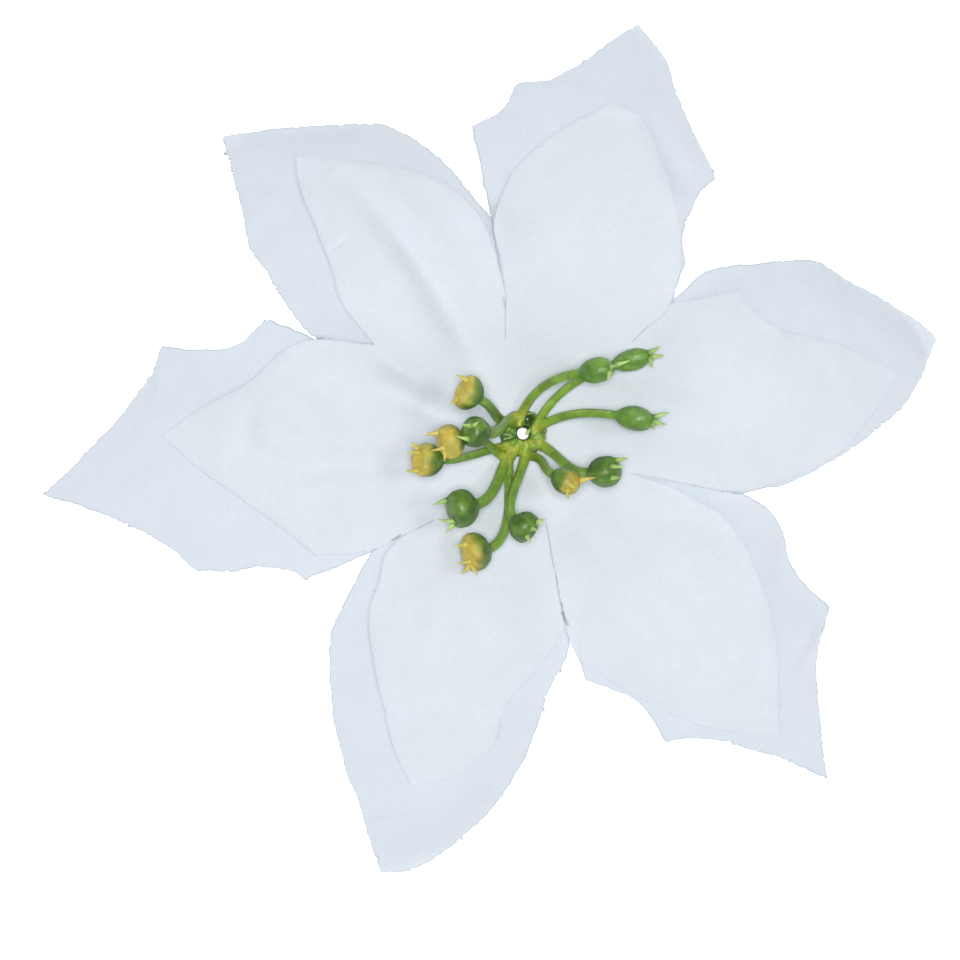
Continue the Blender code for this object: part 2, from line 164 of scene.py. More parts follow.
# How each slit lies: half its width (below zero the lobes overlap by twice that), the lobe on
# top and how far it stands above the other one, of which it rises by one share and the other one
# sinks by the other. Where a slit is open in the inner sheet, the outer sheet's lobes overlap
# under it. Every slit starts at its inner end with the same small width.
SLIT_LIES = {
    "right-top": (-0.25, "top", 0.75),
    "top-upper_left": (0.07, "upper_left", 0.5),
    "upper_left-left": (-0.25, "left", 0.7),
    "left-lower": (0.1, "left", 0.5),
    "lower-lower_right": (0.28, "lower_right", 0.5),
    "lower_right-right": (-0.25, "right", 0.45),
}
SLIT_ROOT_HALF_WIDTH = 0.05
UNDER_OVERLAP = -0.2
# The slit closes again over the last millimetres before the lobes part and a little past that
SLIT_CLOSES_BEFORE = 5.0
SLIT_CLOSES_OVER = 7.0
# An overlap starts past the cut's inner end and grows over some millimetres. Where both sheets'
# lobes overlap, the outer sheet's overlap starts past the place where the inner lobes part.
OVERLAP_STARTS = 3.0
OVERLAP_STARTS_UNDER = 4.0
OVERLAP_GROWS_OVER = 6.0
# The step of one lobe over the other: how far it reaches from the slit, how it sets in past the
# slit's inner end, in the inner sheet past the cut's, and how it fades past the lobes' parting
SLIT_STEP_REACH = 8.0
SLIT_STEP_SETS_IN = 5.0
INNER_STEP_SETS_IN = 4.0
SLIT_STEP_FADE = 24.0
TOP_SHARE = 0.6
UNDER_SHARE = -0.4

# Each lobe: the crest's height, its tip, and the free part of its clockwise and counter-clockwise
# edges, from the slit to the tip. A point given twice is a sharp corner. The curls say how far
# each edge bends down: pairs of a share of the edge's length and a drop.
OUTER_LOBES = {
    "right": {
        "crest": 22,
        "tip": (93, 21),
        "clockwise": [(60, -11), (73.5, -3.5), (86, 7)],
        "counter": [(42, 36.5), (56.5, 38.5), (66, 38.5), (76, 33), (90, 24.5)],
        "clockwise_curl": [(0, 0), (0.5, 0.6), (0.8, 1.2), (0.94, 1.4), (1, 0.6)],
        "counter_curl": [(0, 0), (0.35, 1.7), (0.55, 1.9), (0.72, 4.0), (0.88, 3.8), (1, 1.2)],
    },
    "top": {
        "crest": 20,
        "tip": (26, 92),
        "clockwise": [(36.5, 38.5), (36.5, 38.5), (36, 44.5), (39.5, 53.5), (43, 57.5),
                      (43, 57.5), (41, 62.5), (35, 75), (32, 84)],
        "counter": [(-9, 57), (-11.5, 69), (-11.5, 69), (-5, 72.5), (-1, 78.5), (-1, 78.5),
                    (8.5, 80.5), (17.5, 86.5)],
        "clockwise_curl": [(0, 0), (0.4, 0.8), (0.65, 1.8), (0.85, 1.9), (1, 0.6)],
        "counter_curl": [(0, 0), (0.5, 0.3), (0.8, 0.8), (1, 0.5)],
    },
    "upper_left": {
        "crest": 21,
        "tip": (-67.5, 66.5),
        "clockwise": [(-18.5, 61.5), (-29, 68.5), (-37.5, 69.5), (-54.5, 68.5)],
        "counter": [(-50, 24.5), (-56.5, 34.5), (-61.5, 42), (-61.5, 42), (-63.5, 52.5)],
        "clockwise_curl": [(0, 0), (0.4, 1.2), (0.6, 3.0), (0.75, 2.6), (0.92, 1.8), (1, 0.8)],
        "counter_curl": [(0, 0), (0.45, 0.5), (0.8, 0.3), (1, 0.4)],
    },
    "left": {
        "crest": 17,
        "tip": (-108, -13.5),
        "clockwise": [(-58, 26), (-58, 26), (-62.5, 21), (-68, 19), (-74.5, 19), (-81, 19.5),
                      (-81, 19.5), (-85, 11), (-99.5, -6)],
        "counter": [(-43.5, -30.5), (-49, -33), (-49, -33), (-52, -31), (-59, -30), (-65.5, -31),
                    (-73.5, -30.5), (-73.5, -30.5), (-81.5, -24), (-95, -18)],
        "clockwise_curl": [(0, 0), (0.4, 0.6), (0.7, 0.9), (1, 0.3)],
        "counter_curl": [(0, 0), (0.4, 0.3), (0.7, 0.5), (1, 0.3)],
    },
    "lower": {
        "crest": 18,
        "tip": (-32, -98.5),
        "clockwise": [(-42, -42), (-43.5, -48.5), (-42, -66.5), (-35, -88.5), (-35, -88.5)],
        "counter": [(10, -49.5), (6, -57.5), (1.5, -70), (-5, -82), (-14, -91), (-24, -97.5)],
        "clockwise_curl": [(0, 0), (0.4, 0.5), (0.8, 0.5), (1, 0.2)],
        "counter_curl": [(0, 0), (0.42, 1.0), (0.62, 3.2), (0.85, 3.6), (1, 1.0)],
    },
    "lower_right": {
        "crest": 18,
        "tip": (68.5, -77.5),
        "clockwise": [(14, -55.5), (14, -55.5), (20, -57.5), (26.5, -61), (32, -69), (32, -69),
                      (37.5, -68.5), (44.5, -69), (58, -73)],
        "counter": [(54.5, -16.5), (58, -21.5), (59.5, -28.5), (62.5, -33), (69, -39), (69, -39),
                    (66, -51), (67.5, -71)],
        "clockwise_curl": [(0, 0), (0.4, 0.4), (0.8, 0.5), (1, 0.4)],
        "counter_curl": [(0, 0), (0.25, 1.0), (0.42, 2.8), (0.58, 2.0), (0.8, 0.9), (1, 0.7)],
    },
}

# The inner lobes lie on the outer ones. Puff is how far the middle of a lobe stands up, and the
# lifts say how far each edge stands off the cloth below it.
INNER_LOBES = {
    "right": {
        "puff": 1.6,
        "tip": (84.5, 13.5),
        "clockwise": [(40, -12), (48.5, -13), (60, -10), (73, -2.5)],
        "counter": [(39, 30.2), (48.5, 32), (48.5, 32), (52, 27.5), (59, 23), (71, 20)],
        "clockwise_lift": [(0, 0), (0.5, 0.3), (0.9, 0.5), (1, 0.3)],
        "counter_lift": [(0, 0), (0.4, 0.4), (0.55, 0.7), (0.8, 0.3), (1, 0.2)],
    },
    "top": {
        "puff": 1.5,
        "tip": (20.5, 74.5),
        "clockwise": [(35.2, 36), (35.5, 42.1), (34.5, 49.7), (33, 55.8), (29.9, 64.6),
                      (26.4, 71.3)],
        "counter": [(-5.5, 41), (-6.6, 47.2), (-3.8, 55.8), (-0.1, 61.4), (8.7, 68.3)],
        "clockwise_lift": [(0, 0), (0.4, 0.8), (0.7, 2.0), (0.9, 1.7), (1, 0.6)],
        "counter_lift": [(0, 0), (0.5, 0.3), (0.8, 0.4), (1, 0.4)],
    },
    "upper_left": {
        "puff": 1.9,
        "tip": (-51, 62.5),
        "clockwise": [(-8.5, 46.5), (-16.5, 55.5), (-29.5, 60)],
        "counter": [(-40.5, 29), (-43, 37), (-46, 45), (-46, 45), (-50, 55)],
        "clockwise_lift": [(0, 0), (0.5, 0.9), (0.75, 0.9), (1, 0.6)],
        "counter_lift": [(0, 0), (0.4, 0.9), (0.7, 1.2), (0.9, 1.1), (1, 0.9)],
    },
    "left": {
        "puff": 1.7,
        "tip": (-81, -0.5),
        "clockwise": [(-50, 20.5), (-62.5, 11), (-72, 6)],
        "counter": [(-33.5, -26), (-46.5, -27.5), (-46.5, -27.5), (-54, -21.5), (-72, -8.5)],
        "clockwise_lift": [(0, 0), (0.5, 0.4), (0.8, 0.25), (1, 0.3)],
        "counter_lift": [(0, 0), (0.5, 0.1), (0.8, 0.1), (1, 0.2)],
    },
    "lower": {
        "puff": 1.6,
        "tip": (-25, -79),
        "clockwise": [(-29.5, -25), (-32.5, -33.5), (-34.5, -44.5), (-29.5, -69)],
        "counter": [(4, -52), (-3.5, -60.5), (-6.5, -70), (-6.5, -70), (-15.5, -77)],
        "clockwise_lift": [(0, 0), (0.3, 0.6), (0.6, 0.7), (0.9, 0.6), (1, 0.3)],
        "counter_lift": [(0, 0), (0.5, -0.1), (0.8, 0.2), (1, 0.2)],
    },
    "lower_right": {
        "puff": 1.7,
        "tip": (57.5, -68),
        "clockwise": [(13, -51), (26.5, -59.5), (41, -66)],
        "counter": [(34, -12.5), (44.5, -18), (44.5, -18), (50.5, -26.5), (56.5, -44.5)],
        "clockwise_lift": [(0, 0), (0.5, -0.2), (1, -0.2)],
        "counter_lift": [(0, 0), (0.3, 0.7), (0.6, 1.2), (0.85, 1.3), (1, 0.6)],
    },
}
CURL_WIDTH = 7.0
LIFT_WIDTH = 5.0

# Pressed and crumpled places. A groove is a line, its depth and its half width; below zero it is
# a ridge, and every depth is multiplied by GROOVE_SHARE. A swelling is a centre, a height, its
# half length and half width and its heading in degrees. A crumple is a centre, a radius, a height
# and the distance between its waves.
GROOVE_SHARE = 1.35
OUTER_GROOVES = [
    ([(26.5, 72.8), (30.2, 66), (33.2, 59.9), (35.3, 53.7)], 1.2, 3.0),
    ([(-36.5, -88.3), (-32, -86.8), (-26.5, -85.5)], 0.35, 0.7),
    ([(-99.7, -7.1), (-97.5, -10), (-94, -14)], -0.16, 0.6),
    ([(-89.9, -15), (-88, -17.5), (-86.2, -19.7)], -0.14, 0.6),
    ([(62, -42), (66, -43.5)], -0.2, 1.0),
]
OUTER_SWELLINGS = [
    ((-57.6, 58.6), -0.6, 6.0, 3.0, -40),
    ((-54.6, 48), -0.35, 4.5, 3.0, -30),
    ((-49.5, 33.8), -0.3, 4.0, 3.5, 0),
    ((36.9, 61.9), 0.6, 5.0, 3.5, 110),
    ((12.6, 78.4), -0.35, 5.0, 3.0, 20),
    ((-77.6, 9.3), -0.35, 8.0, 4.0, 10),
    ((-69, -20), 0.3, 7.0, 4.0, 20),
    ((-62, 17), -0.3, 4.0, 3.0, 60),
    ((-12, -86), -0.4, 9.0, 4.0, 55),
    ((-4.8, 47), -0.8, 5.0, 2.5, 105),
]
OUTER_CRUMPLES = [
    ((64, 29), 17, 0.22, 8.0),
    ((70, 24), 15, 0.14, 5.0),
    ((-55, 46), 16, 0.22, 9.0),
    ((-82, -4), 20, 0.13, 9.0),
    ((0, -66), 10, 0.2, 6.0),
    ((20, 84), 14, 0.12, 7.0),
    ((64, -50), 12, 0.15, 8.0),
]
# Folds that both sheets follow
SHARED_GROOVES = [
    ([(-41.5, 59.5), (-34.5, 52), (-25, 40.5), (-19, 31), (-12.8, 21), (-7.5, 12.5)], 2.0, 3.6),
    ([(-36, 60), (-28.5, 52), (-19.3, 41), (-13.7, 31.2)], -0.4, 3.5),
    ([(-67, -4.3), (-59.3, -5.2), (-49.9, -7.7), (-40.4, -6.7), (-24, -7)], 1.7, 3.6),
    ([(-34, 12.5), (-27, 8.5), (-20.5, 5), (-14, 1.5)], 1.9, 3.2),
    ([(20, 3.0), (35, 5.5), (45, 7), (59, 7.6)], 1.1, 4.0),
    ([(10, -13), (15.5, -21.9), (22.8, -28.8), (34.5, -41.9), (48, -54.5)], 1.7, 4.8),
    ([(-8, -22), (-12.5, -34), (-16, -46), (-19, -62)], 0.6, 4.8),
]
SHARED_SWELLINGS = [
    ((3.5, 22), 1.5, 10.0, 10.0, 80),
    ((8.5, -20), -1.5, 6.0, 4.0, -70),
    ((-23, -16.5), -1.4, 6.0, 4.0, 40),
    ((-21, 6.0), -0.8, 4.0, 3.0, 20),
]
INNER_GROOVES = [
    ([(-43.6, 41.1), (-39.4, 43.4)], 0.25, 0.7),
    ([(-33.5, 19.8), (-29.5, 21.6), (-26, 22.8)], 0.3, 0.7),
    ([(-29.5, 16.6), (-26.5, 14.6), (-23, 12.3)], 0.4, 0.55),
    ([(-34, 18.6), (-30.3, 15.9), (-27.7, 13.9), (-23.5, 11.3)], -0.4, 1.1),
    ([(36.7, 28.3), (37.8, 26.2), (38.5, 24.3)], 0.25, 0.45),
    ([(44, -8.5), (45.4, -11), (46.2, -13.1)], -0.2, 0.6),
    ([(13.3, -48.2), (14.8, -44), (16, -40)], -0.3, 0.8),
    ([(22, -19), (30, -18.5), (38, -19.5), (47, -23.5)], 0.6, 2.6),
    ([(26.7, -11.2), (33.5, -14), (39.9, -17)], -0.35, 2.0),
    ([(-52.4, 3), (-49, 1.2), (-46.1, -0.8)], 0.28, 1.2),
    ([(-50.5, 5.2), (-47.5, 3.6), (-44.6, 2.4)], 0.2, 1.2),
    ([(-38.8, -26.6), (-38.4, -23), (-37.3, -19.7)], 0.25, 0.7),
]
INNER_SWELLINGS = [
    ((6.4, 62.5), -0.4, 5.0, 2.6, 35),
    ((72.6, 8.5), -0.35, 6.0, 5.0, 0),
    ((-24.6, -40.7), -0.45, 4.0, 3.0, 10),
    ((-18.7, -48.3), -0.3, 3.5, 3.0, 60),
    ((-9.2, -46.7), -0.25, 3.0, 3.0, 0),
    ((-6.5, -65), 0.4, 2.6, 2.2, 0),
    ((-62, 1.5), -1.0, 5.5, 3.0, 78),
    ((-54.9, 8.7), 0.4, 5.0, 4.0, 0),
    ((-56.2, -1.2), 0.4, 3.6, 2.6, -20),
    ((22, -17), 0.3, 8.0, 3.5, -30),
]
INNER_CRUMPLES = [
    ((-18, -44), 15, 0.22, 8.0),
    ((-50, 2), 14, 0.2, 7.0),
    ((-30, 30), 10, 0.15, 6.0),
    ((30, -40), 22, 0.12, 11.0),
]

# Painted shade where lobes part, standing for the shadow down in each notch: a short line, its half
# width and the share of the shade colour
NOTCH_SHADE_COLOUR = "7B7F7D"
OUTER_NOTCH_SHADE = [
    ([(-45.6, 20.9), (-43.4, 20.2)], 0.6, 0.85),
    ([(-6.5, 50), (-5.2, 46)], 2.0, 0.25),
    ([(32.7, 28.5), (32, 27.8)], 0.5, 0.6),
    ([(8.8, -40.2), (9.9, -42.9)], 0.5, 0.5),
]
INNER_NOTCH_SHADE = [
    ([(-29.4, -24.1), (-27.5, -22.8)], 0.2, 0.8),
    ([(8.8, -40.2), (9.9, -42.9)], 0.3, 0.6),
    ([(-4.3, 30.3), (-4.2, 28.2)], 0.14, 0.5),
]

# Stamen spray: where the root of an arm lies, inside the hub or another arm, and the fork from
# which it runs free, in mm from the hub's axis and above the surface
FORKS = {
    "left": ((-3.0, 1.4, 13.2), (-4.2, 2.0, 13.6)),
    "top": ((-0.8, 1.9, 13.8), (-0.4, 4.0, 15.2)),
    "upper": ((-0.2, 3.9, 14.6), (-2.0, 3.2, 15.2)),
    "right": ((2.2, 0.4, 13.8), (2.9, 1.1, 14.9)),
    "lower_right": ((2.0, -1.4, 13.5), (4.0, -2.5, 14.7)),
    "bottom": ((0.3, -2.4, 13.5), (0.5, -4.8, 14.9)),
    "lower_left": ((-1.2, -2.2, 13.5), (-3.3, -5.6, 15.1)),
    "side": ((-3.1, -5.8, 14.5), (-4.4, -5.2, 15.2)),
    "low_left": ((-1.6, -1.8, 13.2), (-4.0, -2.9, 14.4)),
}

# Each arm: its fork, its stoutness, the heading it leaves the fork with and how far it keeps it
# (a share of its length), then its berry: centre (height last), heading and rise of its axis,
# radius and half length, the place on the axis from which it is painted (-1 is the arm's end, 1
# the blunt end and 2 unpainted), and the plan offsets of its spikes' points from its centre
ARMS = {
    "1": ("left", 1.06, 136, 0.2, (-12, 8.5, 37.5), 152, 18, 3.9, 2.7, -0.3,
          [(-2.8, 3.9), (-3.9, -2.4), (-1.2, 0.8)]),
    "2": ("side", 0.92, 147, 0.25, (-16, -2, 37), 195, 15, 3.8, 2.9, -0.9,
          [(-5.6, 1.3), (-4.1, -2), (-1.3, -4.3)]),
    "3": ("upper", 1.25, 200, 0.2, (-10.5, 0, 39), 175, 30, 3.4, 3.0, 2,
          [(-3, 1.5), (-4.1, -0.9), (0.6, 2.2)]),
    "4": ("low_left", 0.95, 190, 0.3, (-21, -6, 34), 180, 25, 3.7, 3.5, -0.25,
          [(-3.7, 3.7), (-4.3, 1.5), (-4.6, -2.4)]),
    "5": ("lower_left", 1.22, 238, 0.25, (-13.5, -16.5, 34.5), 193, 20, 4.2, 3.4, 2,
          [(-6.3, 0.7), (-5.2, -2.4), (-3.5, -5.2)]),
    "6": ("lower_left", 1.05, 270, 0.3, (-10.5, -26, 29), 192, 20, 4.2, 3.2, -0.25,
          [(-4.6, 1.1), (-3.9, -2.4), (-3.2, -4.8), (0.4, -5.0)]),
    "7": ("bottom", 1.05, 262, 0.2, (0, -20.5, 35), 325, 15, 3.5, 2.9, 2,
          [(4.6, 1.7), (3, -0.9), (1.5, -3.3)]),
    "8": ("bottom", 0.95, 350, 0.3, (9, -10.5, 38), 335, 40, 2.9, 3.4, 0.1,
          [(6.5, 0.7), (2.6, -1.7), (0.4, -3.9)]),
    "9": ("lower_right", 1.06, 327, 0.3, (17.5, -8.5, 35), 5, 35, 3.45, 3.8, 2,
          [(5, 2.8), (4.3, 0.9), (3.3, -1.3)]),
    "10": ("right", 0.95, 30, 0.33, (24.5, 3, 31), 350, 15, 2.65, 4.6, 2,
           [(7.2, 1.3), (6.5, -1.3), (3.7, -2.4)]),
    "11": ("right", 0.9, 72, 0.33, (24, 16, 26.5), 15, 15, 2.35, 4.7, 2,
           [(5.8, 2.7), (6.7, 0.9), (3.9, -2)]),
    "12": ("top", 0.95, 66, 0.33, (16, 13.5, 34), 8, 30, 2.8, 4.3, 2,
           [(6.9, 2), (3.7, 0.9), (2, -2.4)]),
}
ARM_START_RISE = 28
ARM_SUNK_IN_BERRY = 0.9
ROOT_STATIONS = 8
ARM_STATIONS = 40
BERRY_STATIONS = 44
ARM_SIDES = 40
# An arm is thicker by this share at its fork, and yellower there, both over some millimetres
FORK_SWELLING = 0.18
FORK_SWELLING_REACH = 2.5
FORK_YELLOW_REACH = 4.0
# How gently an arm runs into its berry, in mm
NECK_SOFTNESS = 0.5
# Yellow paint: how far it fades out, in half lengths of the berry, how well it covers, and how
# much rougher it is than the plastic
PAINT_FADE = 0.9
PAINT_COVER = 0.8
PAINT_DULLER = 0.16
# Spikes: how far their points reach past the berry's end, the share of that reach's height that
# they get, how far they bow out, their half width, what it is at the point and what the root adds,
# and their thickness to their width
SPIKE_STATIONS = 10
SPIKE_SIDES = 8
SPIKE_REACH = 3.1
SPIKE_HEIGHT_SHARE = 0.8
SPIKE_BOW = 0.35
SPIKE_HALF_WIDTH = 0.5
SPIKE_POINT_HALF_WIDTH = 0.09
SPIKE_ROOT_EXTRA = 0.35
SPIKE_FLATNESS = 0.6
# Ridges where the halves of the mould met: their height, their width as a sine of the turn, and
# how far in radians they may turn from an arm's top and underside
SEAM_HEIGHT = 0.14
SEAM_WIDTH = 0.15
SEAM_TILT = 0.7
SEAM_SEED = 5

# Hub, in mm from the axis and above the surface. A web is a line, its half width and the height
# of its top, and a flash a thin fin between two points, with its half width.
HUB_SIDES = 144
HUB_TOP_RINGS = 44
FLASH_STATIONS = 16
FLASH_SIDES = 10
HUB_TOP = 15.9
HUB_LOW_TOP = 13.4
HUB_SEAT = 11.6
HUB_RADIUS = 5.1
TUBE_RADIUS = 2.2
TUBE_BOTTOM = 0.9
STEM_HOLE_RADIUS = 1.35
WEB_SOFTNESS = 0.5
WEBS = [
    ((-0.8, 1.9), (-0.5, 4.4), 0.9, 15.9),
    ((-1.2, 2.3), (-3.6, 2.6), 1.4, 15.4),
    ((2.2, 0.0), (3.6, 1.3), 1.0, 15.8),
    ((2.0, 0.6), (3.3, 3.8), 0.9, 15.8),
    ((2.7, -0.3), (3.9, -1.8), 1.8, 15.6),
    ((0.6, -2.5), (3.2, -2.4), 1.9, 15.5),
    ((0.4, -2.4), (0.5, -4.8), 1.4, 15.7),
    ((-0.8, -2.0), (-3.3, -5.6), 1.3, 15.7),
    ((-1.2, -1.9), (-4.2, -2.9), 1.3, 15.2),
]
# The pit beside the hole: its centre, its radius and its depth
PIT = ((1.0, 3.2), 0.75, 2.2)
FLASHES = [
    ((2.2, 1.1, 15.5), (0.35, -0.25, 15.0), 0.5),
    ((0.5, 4.1, 15.6), (2.9, 4.7, 15.7), 0.2),
    ((-4.5, -1.5, 14.6), (-2.3, -0.7, 14.9), 0.2),
    ((-3.9, 1.2, 14.0), (-2.7, 2.0, 14.7), 0.3),
    ((3.2, -4.0, 14.8), (4.6, -3.4, 14.6), 0.25),
    ((4.9, 0.9, 14.4), (5.1, -1.4, 14.6), 0.22),
]

# Collar, in mm
COLLAR_TOP = 10.8
COLLAR_FOOT_RADIUS = 5.5
COLLAR_CLEARANCE = 0.3
COLLAR_FLANGE_DEPTH = 1.2
COLLAR_FOOT_HEIGHT = 0.02
COLLAR_CORNER_RADIUS = 0.5
COLLAR_CORNER_STEPS = 6
COLLAR_SIDES = 120
COLLAR_FLUTES = 12
COLLAR_FLUTE_DEPTH = 0.35
# How much rougher the collar's skin is than the spray's
COLLAR_DULLER = 0.06

# Patterns of the finishes, in mm: the largest waves of the cloth's fibre ends and mottling and
# of the plastic's flow marks and orange peel, and how high the threads and the peel stand
FIBRE_END_SIZE = 0.6
MOTTLING_SIZE = 9.0
THREAD_HEIGHT = 0.06
FLOW_MARK_SIZE = 2.2
PEEL_SIZE = 0.6
PEEL_HEIGHT = 0.12


def linear(hex_colour):
    """A colour written as six hex digits of sRGB, turned to linear light."""
    channels = np.array([int(hex_colour[i:i + 2], 16) for i in (0, 2, 4)]) / 255
    low = channels / 12.92
    high = ((channels + 0.055) / 1.055) ** 2.4
    return tuple(float(c) for c in np.where(channels <= 0.04045, low, high))


# Mesh

def smooth_step(x):
    """0 below 0 and 1 above 1, and 3 x^2 - 2 x^3 between."""
    x = np.clip(x, 0, 1)
    return x * x * (3 - 2 * x)


def hump(share):
    """Half a sine wave: 0 at shares of 0 and 1 and beyond them, and 1 at a half."""
    return np.maximum(np.sin(math.pi * np.clip(share, 0, 1)), 0)


def grid_faces(index):
    """Quads between neighbouring rows and columns of an array of vertex numbers."""
    corners = [index[:-1, :-1], index[1:, :-1], index[1:, 1:], index[:-1, 1:]]
    return np.stack(corners, axis=-1).reshape(-1, 4)


def mesh_object(name, points, faces, values, material):
    """An object from points in metres and lists of faces, with a value at each point by name."""
    data = bpy.data.meshes.new(name)
    data.from_pydata(points.tolist(), [], [face for part in faces for face in part.tolist()])
    for key, value in values.items():
        kind = "FLOAT_COLOR" if value.ndim == 2 else "FLOAT"
        field = "color" if value.ndim == 2 else "value"
        data.attributes.new(key, kind, "POINT").data.foreach_set(field, value.astype(float).ravel())
    data.materials.append(material)
    if data.validate():
        raise RuntimeError(f"{name}: the mesh had faulty faces")
    piece = bpy.data.objects.new(name, data)
    bpy.context.scene.collection.objects.link(piece)
    return piece


def settle(piece, sharp_angle):
    """Puts the result of the piece's modifiers into its mesh, smooth but for its sharp edges."""
    bpy.context.view_layer.update()
    depsgraph = bpy.context.evaluated_depsgraph_get()
    data = bpy.data.meshes.new_from_object(piece.evaluated_get(depsgraph))
    piece.modifiers.clear()
    piece.data = data
    data.name = piece.name
    data.shade_smooth()
    data.set_sharp_from_angle(angle=sharp_angle)


def ripples(x, y, wavelength, seed):
    """Crossing waves without a repeat, mostly between -1 and 1.

    It is the scaled sum of nine sine waves whose headings, phases and wavelengths are drawn with
    the seed.
    """
    draw = np.random.default_rng(seed)
    headings = draw.uniform(0, math.pi, 9)
    phases = draw.uniform(0, 2 * math.pi, 9)
    lengths = wavelength * draw.uniform(0.7, 1.5, 9)
    total = np.zeros(np.shape(x))
    for heading, phase, length in zip(headings, phases, lengths):
        run = x * math.cos(heading) + y * math.sin(heading)
        total += np.sin(2 * math.pi / length * run + phase)
    return total / 3 * math.sqrt(2) / 1.4


# Cloth

def curve_through(points, count):
    """count + 1 points, evenly spaced along a Catmull-Rom curve through the given points."""
    knots = np.array(points, float)
    ends = [2 * knots[0] - knots[1], 2 * knots[-1] - knots[-2]]
    knots = np.vstack([ends[0], knots, ends[1]])
    t = np.linspace(0, 1, SAMPLES_PER_SPAN, endpoint=False)[:, None]
    dense = []
    for a, b, c, d in zip(knots, knots[1:], knots[2:], knots[3:]):
        dense.append(0.5 * (2 * b + (c - a) * t + (2 * a - 5 * b + 4 * c - d) * t**2
                            + (3 * b - 3 * c + d - a) * t**3))
    dense = np.vstack(dense + [knots[-2:-1]])
    run = np.append(0, np.cumsum(np.linalg.norm(np.diff(dense, axis=0), axis=1)))
    at = np.linspace(0, run[-1], count + 1)
    return np.column_stack([np.interp(at, run, dense[:, axis]) for axis in (0, 1)])


def edge_points(points, count):
    """count + 1 points along an edge, with every sharp corner kept as one of them.

    Each stretch between corners is a curve of its own and gets its share of the steps by length.
    """
    pieces = [[points[0]]]
    for before, point in zip(points, points[1:]):
        if point == before:
            pieces.append([point])
        else:
            pieces[-1].append(point)
    lengths = [np.linalg.norm(np.diff(np.array(piece), axis=0), axis=1).sum() for piece in pieces]
    marks = np.round(np.append(0, np.cumsum(lengths)) / sum(lengths) * count).astype(int)
    edge = [np.array(points[:1], float)]
    for piece, first, last in zip(pieces, marks, marks[1:]):
        edge.append(curve_through(piece, last - first)[1:])
    return np.vstack(edge)


def rough_edge(x, y, column, from_edge, draw, roughness):
    """Moves the cloth near one cut edge in and out by a little, as a worn die leaves it.

    Each station gets a random amount of its own, one smoothed over nine stations and, at a few
    places, a nick or a burr. The points of its row move by the sum along the edge's outward
    normal, times a Gaussian of their distance from the edge, so that only the last two
    millimetres of cloth follow. It sets in past the slit's inner end, and the tip stays in place.
    """
    edge = np.column_stack([x[:, column], y[:, column]])
    along = np.gradient(edge, axis=0)
    along /= np.linalg.norm(along, axis=1)[:, None] + 1e-9
    outward = np.column_stack([along[:, 1], -along[:, 0]]) * (1 if column == 0 else -1)
    fine = draw.normal(0, 1, len(edge))
    wide = np.convolve(draw.normal(0, 1, len(edge) + 8), np.ones(9) / 3, "valid")
    burrs = draw.normal(0, 1, len(edge)) * (draw.uniform(0, 1, len(edge)) < BURR_SHARE)
    amount = roughness * (0.5 * fine + 0.7 * wide + 1.8 * burrs)
    amount *= smooth_step(np.arange(len(edge)) / ROUGH_SETS_IN)
    amount[-1] = 0
    reach = amount[:, None] * np.exp(-(from_edge / ROUGH_REACH) ** 2)
    return x + outward[:, :1] * reach, y + outward[:, 1:] * reach


